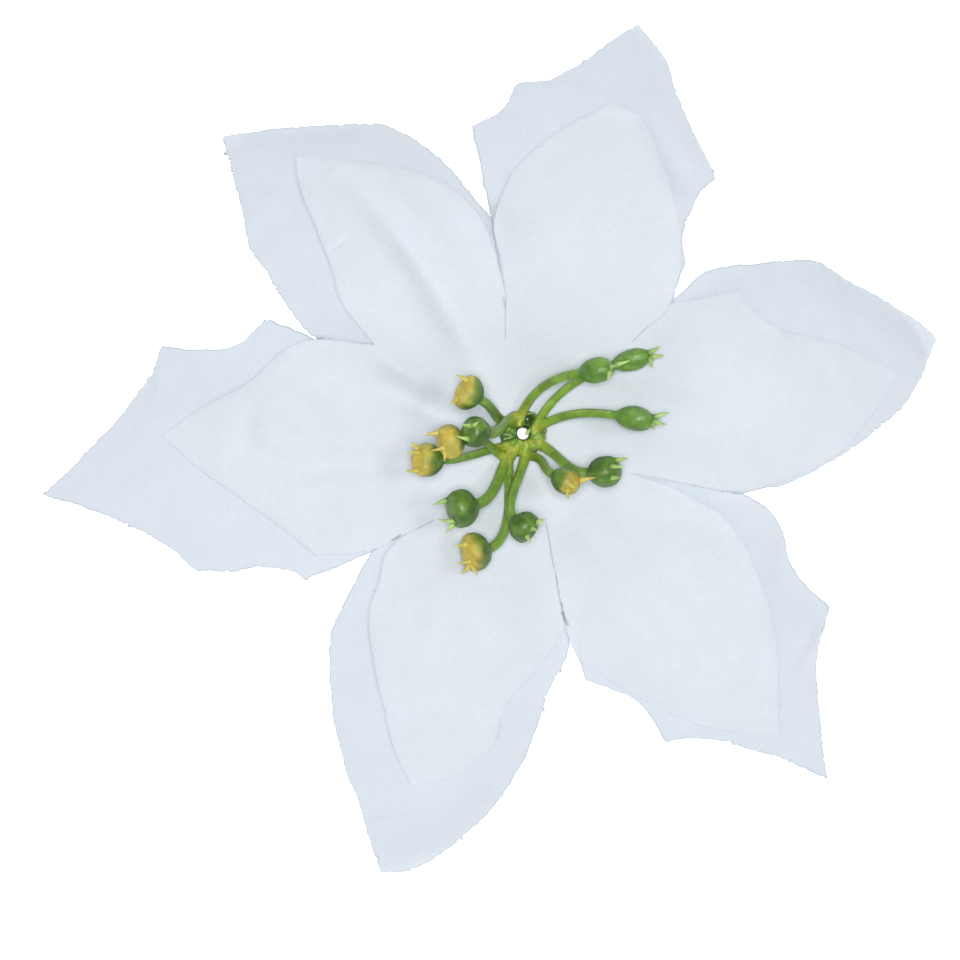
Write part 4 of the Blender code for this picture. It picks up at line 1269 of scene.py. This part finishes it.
def hub_top(x, y):
    """Height of the hub's top in mm: a low disc, and webs that rise from it.

    A web's height falls from its top by exp(-(d / w)^4), where d is the distance from its line and
    w its half width. The surface is the greatest of them, eased, less a Gaussian pit.
    """
    height = HUB_LOW_TOP + 0.15 * ripples(x, y, 2.5, 6)
    for start, end, half_width, top in WEBS:
        distance, _ = along_line(x, y, [start, end])
        web = HUB_SEAT + (top + 0.12 * ripples(x, y, 2.0, 12) - HUB_SEAT) * np.exp(
            -(distance / half_width) ** 4)
        height = at_least(height, web, WEB_SOFTNESS)
    (px, py), reach, depth = PIT
    return height - depth * np.exp(-((x - px) ** 2 + (y - py) ** 2) / reach**2)


def hub_and_flash(moulding, settings):
    """The hollow hub with its webs and its tube, and the thin flash that the mould left.

    The hub is a turned outline whose top follows the webs and whose rim wanders by sine waves of
    the angle. The upper end of its hole is wider on one side. Each flash is a flat fin with a
    ragged outline, pointed at both ends.
    """
    # The section goes up the hole's wall, out over the top, down the rim, in along the seat and
    # down the tube
    radii = np.linspace(STEM_HOLE_RADIUS + 0.15, HUB_RADIUS - 0.1, HUB_TOP_RINGS)
    outline = np.vstack([
        [(STEM_HOLE_RADIUS, TUBE_BOTTOM), (STEM_HOLE_RADIUS, 12.8), (STEM_HOLE_RADIUS, 13.6),
         (STEM_HOLE_RADIUS, 14.3), (STEM_HOLE_RADIUS + 0.05, HUB_TOP - 0.6)],
        np.column_stack([radii, np.full(HUB_TOP_RINGS, HUB_TOP)]),
        [(HUB_RADIUS, HUB_TOP - 0.35), (HUB_RADIUS + 0.05, 13.0), (HUB_RADIUS + 0.1, HUB_SEAT),
         (TUBE_RADIUS, HUB_SEAT), (TUBE_RADIUS, TUBE_BOTTOM)]])

    def webbed(radius, height, angle):
        """Puts the top on the webs, moves the rim by its waves and widens the hole's upper end."""
        high = smooth_step((height - 13.3) / 1.6)
        wide = 0.5 * np.clip(np.cos(angle - 0.75), 0, 1) ** 2
        wave = 0.12 * np.sin(3 * angle + 1) + 0.09 * np.sin(7 * angle) + 0.05 * np.sin(16 * angle)
        moved = radius + high * (wide + 0.04 * np.sin(5 * angle)) * np.exp(
            (STEM_HOLE_RADIUS - radius) / 0.9)
        moved = moved + wave * smooth_step((radius - 3.6) / 1.2) * smooth_step((height - 12) / 1)
        top = hub_top(moved * np.cos(angle), moved * np.sin(angle))
        top = top - 0.7 * smooth_step((radius - HUB_RADIUS + 0.6) / 0.6) ** 2
        return moved, np.where(height > 13.4, height - HUB_TOP + top, np.minimum(height, top - 0.4))

    # Colours: dark green low down, the arm's green and yellow-green in patches on the webs, and a
    # painted shade, darkest green, down the hole's wall and in the pit
    points, faces, radius, height = turned_body(outline, HUB_SIDES, webbed)
    x, y = points[:, 0], points[:, 1]
    (pit_x, pit_y), pit_reach, _ = PIT
    # Painted shade down the hole's wall and in the pit
    inside = 1 - smooth_step((radius - STEM_HOLE_RADIUS - 0.1) / 0.35 - 0.9 * np.clip(
        (x + y - 1.2) / 1.2, 0, 1))
    pit = np.exp(-((x - pit_x) ** 2 + (y - pit_y) ** 2) / pit_reach**2)
    olive = np.clip(0.45 + 0.5 * ripples(x, y, 3.0, 21), 0, 1)
    raised = mixed(settings.arm_green, settings.young_green, olive)
    colours = mixed(settings.collar_green, raised, smooth_step((height - HUB_LOW_TOP - 0.2) / 1.3))
    colours = mixed(colours, settings.hole_shade_green, np.clip(0.9 * np.maximum(inside, pit), 0, 1))
    moulding.add(points, faces, colours, np.zeros(len(points)))

    # Flash: flat fins, about a third as thick as they are wide
    first, last = np.array([flash[:2] for flash in FLASHES]).transpose(1, 0, 2)
    half_width = np.array([flash[2] for flash in FLASHES])[:, None, None]
    t = np.linspace(0, 1, FLASH_STATIONS)[None, :, None]
    paths = first[:, None] * (1 - t) + last[:, None] * t
    paths = paths + 0.12 * np.sin(8 * t + paths[..., :1]) * np.array([0.6, -0.6, 1.0])
    side = np.linspace(0, 2 * math.pi, FLASH_SIDES, endpoint=False)
    flat = 1 / np.sqrt((np.cos(side) / 0.35) ** 2 + np.sin(side) ** 2)
    ragged = np.clip(4 * t * (1 - t), 0.02, 1) ** 0.7 * (1 + 0.3 * np.sin(11 * t + paths[..., 1:2]))
    points, faces = tube_bodies(paths, half_width * ragged * flat, np.array([0, 0, 1.0]))
    colours = np.tile(np.array(settings.spike_green), (len(points), 1))
    moulding.add(points, faces, colours * 0.75, np.zeros(len(points)))


def calyx_collar(settings, material):
    """The collar under the cloth, turned, with shallow flutes down its cone.

    The flutes take a cosine of the angle off the radius between the flange and the foot, and
    every corner is an arc.
    """
    top = COLLAR_TOP
    flange = (COLLAR_HIGH[0] - COLLAR_LOW[0]) / 2 / MM
    foot = COLLAR_FOOT_RADIUS
    bore = TUBE_RADIUS + COLLAR_CLEARANCE
    outline = rounded([
        (bore, COLLAR_FOOT_HEIGHT), (bore, top), (flange, top),
        (flange, top - COLLAR_FLANGE_DEPTH), (flange - 1.0, top - 2.0), (foot + 0.2, top / 2),
        (foot, top / 2 - 1.0), (foot, COLLAR_FOOT_HEIGHT)],
        COLLAR_CORNER_RADIUS, COLLAR_CORNER_STEPS)

    def fluted(radius, height, angle):
        """Takes the flutes off the outside between the foot and the flange."""
        cone = smooth_step((height - 0.6) / 1.5) * (1 - smooth_step((height - top + 2.6) / 0.8))
        outside = smooth_step((radius - bore - 1.0) / 1.0)
        flute = COLLAR_FLUTE_DEPTH * cone * outside
        return radius - flute * (1 + np.cos(COLLAR_FLUTES * angle)) / 2, height

    points, faces, radius, height = turned_body(outline, COLLAR_SIDES, fluted)
    moulding = Moulding()
    tone = smooth_step((radius - foot) / 3)
    colours = mixed(settings.collar_green, settings.berry_green, tone)
    moulding.add(points, faces, colours, np.zeros(len(points)))
    piece = moulding.finish("calyx_collar_cup", material)
    piece.data.set_sharp_from_angle(angle=math.radians(60))
    return piece


# Materials

def add_node(tree, kind, settings, inputs):
    """One node with its settings, and its sockets set to a value or linked from another one."""
    node = tree.nodes.new(kind)
    for name, value in settings.items():
        setattr(node, name, value)
    for socket, value in inputs.items():
        if isinstance(value, bpy.types.NodeSocket):
            tree.links.new(value, node.inputs[socket])
        else:
            node.inputs[socket].default_value = value
    return node


def new_material(name):
    """A material with an empty tree of nodes, and the tree."""
    material = bpy.data.materials.new(name)
    material.use_nodes = True
    material.node_tree.nodes.clear()
    return material, material.node_tree


def woven_polyester(name, colour, edge_shade_share, settings):
    """White polyester cloth, woven of fine yarn and stiffened with size.

    It gives a matt white with a faint cool cast, a grain of threads in two directions, a soft
    mottling where the size lies thicker, a painted shade along the cut edge and where lobes part,
    and a little light through it.
    """
    material, tree = new_material(name)
    # Real yarns lie 0.2 mm apart, which is under one pixel of the picture. So the grain is drawn
    # at thread_spacing, as broken lines in the two directions of the weave.
    place = add_node(tree, "ShaderNodeTexCoord", {}, {}).outputs["Object"]
    turned = add_node(tree, "ShaderNodeMapping", {}, {
        "Vector": place, "Rotation": (0, 0, settings.grain_turn)}).outputs["Vector"]
    thread_scale = 1 / settings.thread_spacing
    lines = []
    for stretch in ((1, 0.4, 0.5), (0.4, 1, 0.5)):
        stretched = add_node(tree, "ShaderNodeMapping", {}, {
            "Vector": turned, "Scale": stretch}).outputs["Vector"]
        lines.append(add_node(tree, "ShaderNodeTexNoise", {}, {
            "Vector": stretched, "Scale": thread_scale, "Detail": 1.0,
            "Roughness": 0.5}).outputs["Fac"])
    warp, weft = lines
    # Fibre ends, drawn coarser than real ones at 0.6 mm down to 0.15 mm so that they show, and
    # mottling of 9 mm down to 0.6 mm
    fibre = add_node(tree, "ShaderNodeTexNoise", {}, {
        "Vector": place, "Scale": 1 / (FIBRE_END_SIZE * MM), "Detail": 2.0,
        "Roughness": 0.6}).outputs["Fac"]
    mottle = add_node(tree, "ShaderNodeTexNoise", {}, {
        "Vector": place, "Scale": 1 / (MOTTLING_SIZE * MM), "Detail": 4.0,
        "Roughness": 0.65}).outputs["Fac"]
    threads = add_node(tree, "ShaderNodeMath", {"operation": "MULTIPLY_ADD"}, {
        0: weft, 1: 0.45, 2: warp}).outputs[0]
    surface = add_node(tree, "ShaderNodeMath", {"operation": "MULTIPLY_ADD"}, {
        0: fibre, 1: 0.9, 2: threads}).outputs[0]
    bump = add_node(tree, "ShaderNodeBump", {}, {
        "Height": surface, "Strength": settings.thread_depth,
        "Distance": THREAD_HEIGHT * MM}).outputs["Normal"]

    pale = (*colour, 1)
    shade = (*(c * 0.972 for c in colour), 1)
    mottled = add_node(tree, "ShaderNodeMapRange", {}, {
        "Value": mottle, "From Min": 0.32, "From Max": 0.68}).outputs["Result"]
    base = add_node(tree, "ShaderNodeMix", {"data_type": "RGBA"}, {
        0: mottled, 6: shade, 7: pale}).outputs[2]
    tone = add_node(tree, "ShaderNodeMapRange", {}, {
        "Value": threads, "From Min": 0.5, "From Max": 0.95, "To Min": 0.975,
        "To Max": 1.02}).outputs["Result"]
    base = add_node(tree, "ShaderNodeHueSaturation", {}, {
        "Color": base, "Value": tone}).outputs["Color"]
    # Painted shade along the cut edge, and painted shade where lobes part
    distance = add_node(tree, "ShaderNodeAttribute", {"attribute_name": "cut_distance"}, {})
    near_cut = add_node(tree, "ShaderNodeMapRange", {"interpolation_type": "SMOOTHSTEP"}, {
        "Value": distance.outputs["Fac"], "From Min": 0.0, "From Max": EDGE_SHADE_REACH,
        "To Min": edge_shade_share, "To Max": 0.0}).outputs["Result"]
    edge_shade_colour = (*settings.cut_shade_colour, 1)
    base = add_node(tree, "ShaderNodeMix", {"data_type": "RGBA"}, {
        0: near_cut, 6: base, 7: edge_shade_colour}).outputs[2]
    # Painted shade where lobes part, standing for the shadow down in each notch
    notch_shade = add_node(tree, "ShaderNodeAttribute", {"attribute_name": "notch_shade"}, {}).outputs["Fac"]
    base = add_node(tree, "ShaderNodeMix", {"data_type": "RGBA"}, {
        0: notch_shade, 6: base, 7: (*linear(NOTCH_SHADE_COLOUR), 1)}).outputs[2]

    front = add_node(tree, "ShaderNodeBsdfPrincipled", {}, {
        "Base Color": base, "Roughness": 0.82, "IOR": 1.5, "Specular IOR Level": 0.25,
        "Sheen Weight": 0.15, "Sheen Roughness": 0.5, "Normal": bump}).outputs["BSDF"]
    through = add_node(tree, "ShaderNodeBsdfTranslucent", {}, {"Color": base}).outputs["BSDF"]
    both = add_node(tree, "ShaderNodeMixShader", {}, {
        0: settings.light_through, 1: front, 2: through}).outputs[0]
    add_node(tree, "ShaderNodeOutputMaterial", {}, {"Surface": both})
    return material


def moulded_polyethylene(name, roughness):
    """Soft green polyethylene, injection moulded, with yellow paint dabbed on some tips.

    It gives a satin green with small soft highlights, faint flow marks and a fine orange peel.
    The paint is duller than the plastic. The colours are worked out at each point of the mesh.
    """
    material, tree = new_material(name)
    place = add_node(tree, "ShaderNodeTexCoord", {}, {}).outputs["Object"]
    pigment = add_node(tree, "ShaderNodeAttribute", {
        "attribute_name": "pigment"}, {}).outputs["Color"]
    paint = add_node(tree, "ShaderNodeAttribute", {"attribute_name": "paint"}, {}).outputs["Fac"]
    # Flow marks of 2 mm down to 0.3 mm, and orange peel, drawn coarser than a real one's at 0.6 mm
    # down to 0.15 mm
    flow = add_node(tree, "ShaderNodeTexNoise", {}, {
        "Vector": place, "Scale": 1 / (FLOW_MARK_SIZE * MM), "Detail": 3.0,
        "Roughness": 0.6, "Distortion": 0.6}).outputs["Fac"]
    peel = add_node(tree, "ShaderNodeTexNoise", {}, {
        "Vector": place, "Scale": 1 / (PEEL_SIZE * MM), "Detail": 2.0,
        "Roughness": 0.55}).outputs["Fac"]
    tone = add_node(tree, "ShaderNodeMapRange", {}, {
        "Value": flow, "From Min": 0.3, "From Max": 0.7, "To Min": 0.72,
        "To Max": 1.22}).outputs["Result"]
    base = add_node(tree, "ShaderNodeHueSaturation", {}, {
        "Color": pigment, "Value": tone}).outputs["Color"]
    rough = add_node(tree, "ShaderNodeMapRange", {}, {
        "Value": paint, "To Min": roughness,
        "To Max": roughness + PAINT_DULLER}).outputs["Result"]
    rough = add_node(tree, "ShaderNodeMath", {"operation": "MULTIPLY_ADD"}, {
        0: peel, 1: 0.1, 2: rough}).outputs[0]
    bump = add_node(tree, "ShaderNodeBump", {}, {
        "Height": peel, "Strength": 0.6, "Distance": PEEL_HEIGHT * MM}).outputs["Normal"]
    shader = add_node(tree, "ShaderNodeBsdfPrincipled", {}, {
        "Base Color": base, "Roughness": rough, "IOR": 1.51, "Specular IOR Level": 0.42,
        "Normal": bump}).outputs["BSDF"]
    add_node(tree, "ShaderNodeOutputMaterial", {}, {"Surface": shader})
    return material


def lit_board(name, colour, glow):
    """Opal acrylic, lit from behind: an even white ground, on which shadows are faint."""
    material, tree = new_material(name)
    shader = add_node(tree, "ShaderNodeBsdfPrincipled", {}, {
        "Base Color": (*colour, 1), "Roughness": 0.9, "Specular IOR Level": 0.1,
        "Emission Color": (*colour, 1), "Emission Strength": glow}).outputs["BSDF"]
    add_node(tree, "ShaderNodeOutputMaterial", {}, {"Surface": shader})
    return material


# Properties

class PoinsettiaCloth(bpy.types.PropertyGroup):
    """The two cloth rosettes"""

    thickness: bpy.props.FloatProperty(
        name="Thickness", description="Thickness of the stiffened cloth",
        default=0.25 * MM, min=0.1 * MM, max=0.5 * MM, unit="LENGTH", precision=5)
    edge_roughness: bpy.props.FloatProperty(
        name="Edge roughness", description="How far the cut edge wanders in and out",
        default=0.17 * MM, min=0, max=0.5 * MM, unit="LENGTH", precision=5)
    fibre_density: bpy.props.FloatProperty(
        name="Loose fibres", description="Share of the edge's steps that have a loose fibre",
        default=0.75, min=0, max=1, subtype="FACTOR")
    fibre_length: bpy.props.FloatProperty(
        name="Fibre length", description="Typical length of a loose fibre",
        default=0.25 * MM, min=0.1 * MM, max=2 * MM, unit="LENGTH", precision=5)
    thread_spacing: bpy.props.FloatProperty(
        name="Thread spacing", description="Distance between the threads that show",
        default=0.4 * MM, min=0.2 * MM, max=2 * MM, unit="LENGTH", precision=5)
    thread_depth: bpy.props.FloatProperty(
        name="Thread relief", description="Strength of the threads' relief",
        default=0.3, min=0, max=1, subtype="FACTOR")
    grain_turn: bpy.props.FloatProperty(
        name="Grain direction", description="Turn of the warp about the vertical",
        default=math.radians(68), subtype="ANGLE")
    light_through: bpy.props.FloatProperty(
        name="Light through", description="Share of the light that passes through the cloth",
        default=0.18, min=0, max=0.6, subtype="FACTOR")
    # A little darker than the inner colour: painted shade, for the outer sheet lying lower and
    # steeper as a single layer
    shaded_outer_colour: bpy.props.FloatVectorProperty(
        name="Shaded outer colour", description="Colour of the outer rosette", subtype="COLOR",
        size=3, min=0, max=1, default=linear("DFE6ED"))
    inner_colour: bpy.props.FloatVectorProperty(
        name="Inner colour", description="Colour of the inner rosette", subtype="COLOR",
        size=3, min=0, max=1, default=linear("E5EBF2"))
    # Painted shade that the cloth darkens to along its cut edges
    cut_shade_colour: bpy.props.FloatVectorProperty(
        name="Cut edge shade", description="Painted shade along the cut edge", subtype="COLOR",
        size=3, min=0, max=1, default=linear("9DAAB6"))


class PoinsettiaSpray(bpy.types.PropertyGroup):
    """The moulded green pieces"""

    arm_radius: bpy.props.FloatProperty(
        name="Arm radius", description="Radius of the thin arms",
        default=0.94 * MM, min=0.6 * MM, max=1.6 * MM, unit="LENGTH", precision=5)
    plastic_roughness: bpy.props.FloatProperty(
        name="Roughness", description="Roughness of the bare plastic",
        default=0.34, min=0.1, max=0.9, subtype="FACTOR")
    arm_green: bpy.props.FloatVectorProperty(
        name="Arm green", description="Colour of the arms", subtype="COLOR",
        size=3, min=0, max=1, default=linear("789E38"))
    berry_green: bpy.props.FloatVectorProperty(
        name="Berry green", description="Colour of the berries and the hub", subtype="COLOR",
        size=3, min=0, max=1, default=linear("578034"))
    young_green: bpy.props.FloatVectorProperty(
        name="Fork green", description="Colour where the arms fork", subtype="COLOR",
        size=3, min=0, max=1, default=linear("9FA63A"))
    # Pale green of the spikes' points, also used on the seams and the flash: on the spikes it is
    # painted light through the thin plastic, on the seams a painted highlight
    spike_green: bpy.props.FloatVectorProperty(
        name="Spike green", description="Colour of the thin spikes and flash", subtype="COLOR",
        size=3, min=0, max=1, default=linear("ACCB74"))
    paint_yellow: bpy.props.FloatVectorProperty(
        name="Paint yellow", description="Colour of the painted tips", subtype="COLOR",
        size=3, min=0, max=1, default=linear("C9B854"))
    paint_deep: bpy.props.FloatVectorProperty(
        name="Deep paint", description="Colour of the paint where it lies thick",
        subtype="COLOR", size=3, min=0, max=1, default=linear("D4B244"))
    # Painted shade down the hole's wall and in the pit beside it
    hole_shade_green: bpy.props.FloatVectorProperty(
        name="Hole shade green", description="Painted shade down in the hole and the pit beside it",
        subtype="COLOR", size=3, min=0, max=1, default=linear("383A14"))
    collar_green: bpy.props.FloatVectorProperty(
        name="Collar green", description="Colour of the collar's cone", subtype="COLOR",
        size=3, min=0, max=1, default=linear("47702E"))


class PoinsettiaStage(bpy.types.PropertyGroup):
    """The board, the lights and the camera"""

    camera_height: bpy.props.FloatProperty(
        name="Camera height", description="Height of the camera above the table",
        default=1.0, min=0.3, max=5, unit="LENGTH")
    board_size: bpy.props.FloatProperty(
        name="Board size", description="Side of the pale board", default=16.0, min=0.5,
        max=30, unit="LENGTH")
    board_colour: bpy.props.FloatVectorProperty(
        name="Board colour", description="Colour of the board", subtype="COLOR", size=3,
        min=0, max=1, default=linear("FAFAFA"))
    overhead_power: bpy.props.FloatProperty(
        name="Overhead light", description="Power of the soft light above the head",
        default=21.2, min=0, max=500, unit="POWER")
    side_power: bpy.props.FloatProperty(
        name="Right light", description="Power of the soft light a little to the right",
        default=4.0, min=0, max=500, unit="POWER")
    broad_power: bpy.props.FloatProperty(
        name="Broad light", description="Power of the broad light at the lower left",
        default=3.4, min=0, max=500, unit="POWER")
    sky_strength: bpy.props.FloatProperty(
        name="Room light", description="Brightness of the light from all sides", default=0.24,
        min=0, max=3)
    board_glow: bpy.props.FloatProperty(
        name="Board glow", description="Brightness of the lit board by itself", default=0.6,
        min=0, max=3)


# Operators

class MESH_OT_poinsettia_outer_rosette(bpy.types.Operator):
    """Make the outer cloth rosette and the loose fibres of its edge"""

    bl_idname = "mesh.poinsettia_outer_rosette"
    bl_label = "Outer Rosette"

    def execute(self, context):
        settings = context.scene.poinsettia_cloth
        # The outer sheet's colour is the inner cloth's with painted shade
        material = woven_polyester("woven polyester, outer", settings.shaded_outer_colour, OUTER_EDGE_SHADE,
                                   settings)
        sheet, cells = rosette("outer_rosette", OUTER_LOBES, OUTER_SLITS, False, settings, material)
        fibres = loose_fibres("outer_rosette_fibres", cells, OUTER_FIBRES, settings,
                              OUTER_FIBRE_SEED, material)
        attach(sheet, "root")
        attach(fibres, "root")
        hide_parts("outer_bract_sheet")
        return {"FINISHED"}


class MESH_OT_poinsettia_inner_rosette(bpy.types.Operator):
    """Make the inner cloth rosette and the loose fibres of its edge"""

    bl_idname = "mesh.poinsettia_inner_rosette"
    bl_label = "Inner Rosette"

    def execute(self, context):
        settings = context.scene.poinsettia_cloth
        material = woven_polyester("woven polyester, inner", settings.inner_colour, INNER_EDGE_SHADE,
                                   settings)
        sheet, cells = rosette("inner_rosette", INNER_LOBES, INNER_SLITS, True, settings, material)
        fibres = loose_fibres("inner_rosette_fibres", cells, INNER_FIBRES, settings,
                              INNER_FIBRE_SEED, material)
        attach(sheet, "root")
        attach(fibres, "root")
        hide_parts("inner_bract_sheet")
        return {"FINISHED"}


class MESH_OT_poinsettia_spray(bpy.types.Operator):
    """Make the moulded stamen spray: hub, arms, berries and spikes"""

    bl_idname = "mesh.poinsettia_spray"
    bl_label = "Stamen Spray"

    def execute(self, context):
        settings = context.scene.poinsettia_spray
        moulding = Moulding()
        hub_and_flash(moulding, settings)
        arms_and_berries(moulding, settings)
        spikes(moulding, settings)
        material = moulded_polyethylene("moulded polyethylene, spray", settings.plastic_roughness)
        piece = moulding.finish("stamen_moulding", material)
        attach(piece, "root")
        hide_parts("stamen_spray")
        return {"FINISHED"}


class MESH_OT_poinsettia_collar(bpy.types.Operator):
    """Make the calyx collar under the cloth"""

    bl_idname = "mesh.poinsettia_collar"
    bl_label = "Calyx Collar"

    def execute(self, context):
        settings = context.scene.poinsettia_spray
        material = moulded_polyethylene("moulded polyethylene, collar",
                                        settings.plastic_roughness + COLLAR_DULLER)
        piece = calyx_collar(settings, material)
        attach(piece, "root")
        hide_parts("calyx_collar")
        return {"FINISHED"}


class SCENE_OT_poinsettia_stage(bpy.types.Operator):
    """Set the pale board, the soft light and the camera straight above the head"""

    bl_idname = "scene.poinsettia_stage"
    bl_label = "Stage"

    def execute(self, context):
        scene = context.scene
        settings = scene.poinsettia_stage
        half = settings.board_size / 2
        corners = np.array([(-half, -half, 0), (half, -half, 0), (half, half, 0), (-half, half, 0)])
        corners[:, 2] = BOARD_HEIGHT
        board = mesh_object("board", corners, [np.array([[0, 1, 2, 3]])], {},
                            lit_board("opal acrylic", settings.board_colour, settings.board_glow))

        middle = FRAME_PIXELS / 2
        camera_data = bpy.data.cameras.new("camera")
        camera_data.sensor_width = SENSOR_MM
        camera_data.lens = SENSOR_MM * settings.camera_height / (FRAME_PIXELS * PIXEL_MM * MM)
        camera_data.clip_end = 30
        camera = bpy.data.objects.new("camera", camera_data)
        camera.location = (AXIS[0] + (middle - HUB_PIXEL[0]) * PIXEL_MM * MM,
                           AXIS[1] + (HUB_PIXEL[1] - middle) * PIXEL_MM * MM,
                           settings.camera_height)
        scene.collection.objects.link(camera)
        scene.camera = camera

        # Each light: where it stands, facing the head, the diameter of its disc and its power
        lights = {"overhead light": ((camera.location.x, camera.location.y, 1.7), 0.25,
                                     settings.overhead_power),
                  "right light": ((0.5, 0.05, 1.55), 0.25, settings.side_power),
                  "broad light": ((-0.95, -1.05, 1.35), 1.2, settings.broad_power)}
        for name, (place, diameter, power) in lights.items():
            lamp = bpy.data.lights.new(name, "AREA")
            lamp.shape = "DISK"
            lamp.size = diameter
            lamp.energy = power
            light = bpy.data.objects.new(name, lamp)
            light.location = place
            light.rotation_euler = Vector(place).to_track_quat("Z", "Y").to_euler()
            scene.collection.objects.link(light)

        world = bpy.data.worlds.new("room")
        world.use_nodes = True
        ground = world.node_tree.nodes["Background"]
        ground.inputs["Color"].default_value = (*linear(ROOM_COLOUR), 1)
        ground.inputs["Strength"].default_value = settings.sky_strength
        scene.world = world
        scene.view_settings.view_transform = "Standard"
        scene.view_settings.look = "None"
        return {"FINISHED"}


class VIEW3D_PT_poinsettia(bpy.types.Panel):
    """Buttons for the pieces and the stage, and their settings"""

    bl_label = "Poinsettia Head"
    bl_idname = "VIEW3D_PT_poinsettia"
    bl_space_type = "VIEW_3D"
    bl_region_type = "UI"
    bl_category = "Poinsettia"

    def draw(self, context):
        for operator in OPERATORS:
            self.layout.operator(operator.bl_idname)
        for group in (context.scene.poinsettia_cloth, context.scene.poinsettia_spray,
                      context.scene.poinsettia_stage):
            box = self.layout.box()
            for key in group.__annotations__:
                box.prop(group, key)


OPERATORS = (MESH_OT_poinsettia_collar, MESH_OT_poinsettia_outer_rosette,
             MESH_OT_poinsettia_inner_rosette, MESH_OT_poinsettia_spray,
             SCENE_OT_poinsettia_stage)
GROUPS = {"poinsettia_cloth": PoinsettiaCloth, "poinsettia_spray": PoinsettiaSpray,
          "poinsettia_stage": PoinsettiaStage}


def register():
    """Makes the settings, the operators and the panel known to Blender."""
    for group in GROUPS.values():
        bpy.utils.register_class(group)
    for key, group in GROUPS.items():
        setattr(bpy.types.Scene, key, bpy.props.PointerProperty(type=group))
    for operator in OPERATORS:
        bpy.utils.register_class(operator)
    bpy.utils.register_class(VIEW3D_PT_poinsettia)


def unregister():
    """Takes them out again."""
    bpy.utils.unregister_class(VIEW3D_PT_poinsettia)
    for operator in reversed(OPERATORS):
        bpy.utils.unregister_class(operator)
    for key in GROUPS:
        delattr(bpy.types.Scene, key)
    for group in reversed(GROUPS.values()):
        bpy.utils.unregister_class(group)


def main():
    """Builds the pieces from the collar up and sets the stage."""
    register()
    bpy.ops.mesh.poinsettia_collar()
    bpy.ops.mesh.poinsettia_outer_rosette()
    bpy.ops.mesh.poinsettia_inner_rosette()
    bpy.ops.mesh.poinsettia_spray()
    bpy.ops.scene.poinsettia_stage()


if __name__ == "__main__":
    main()
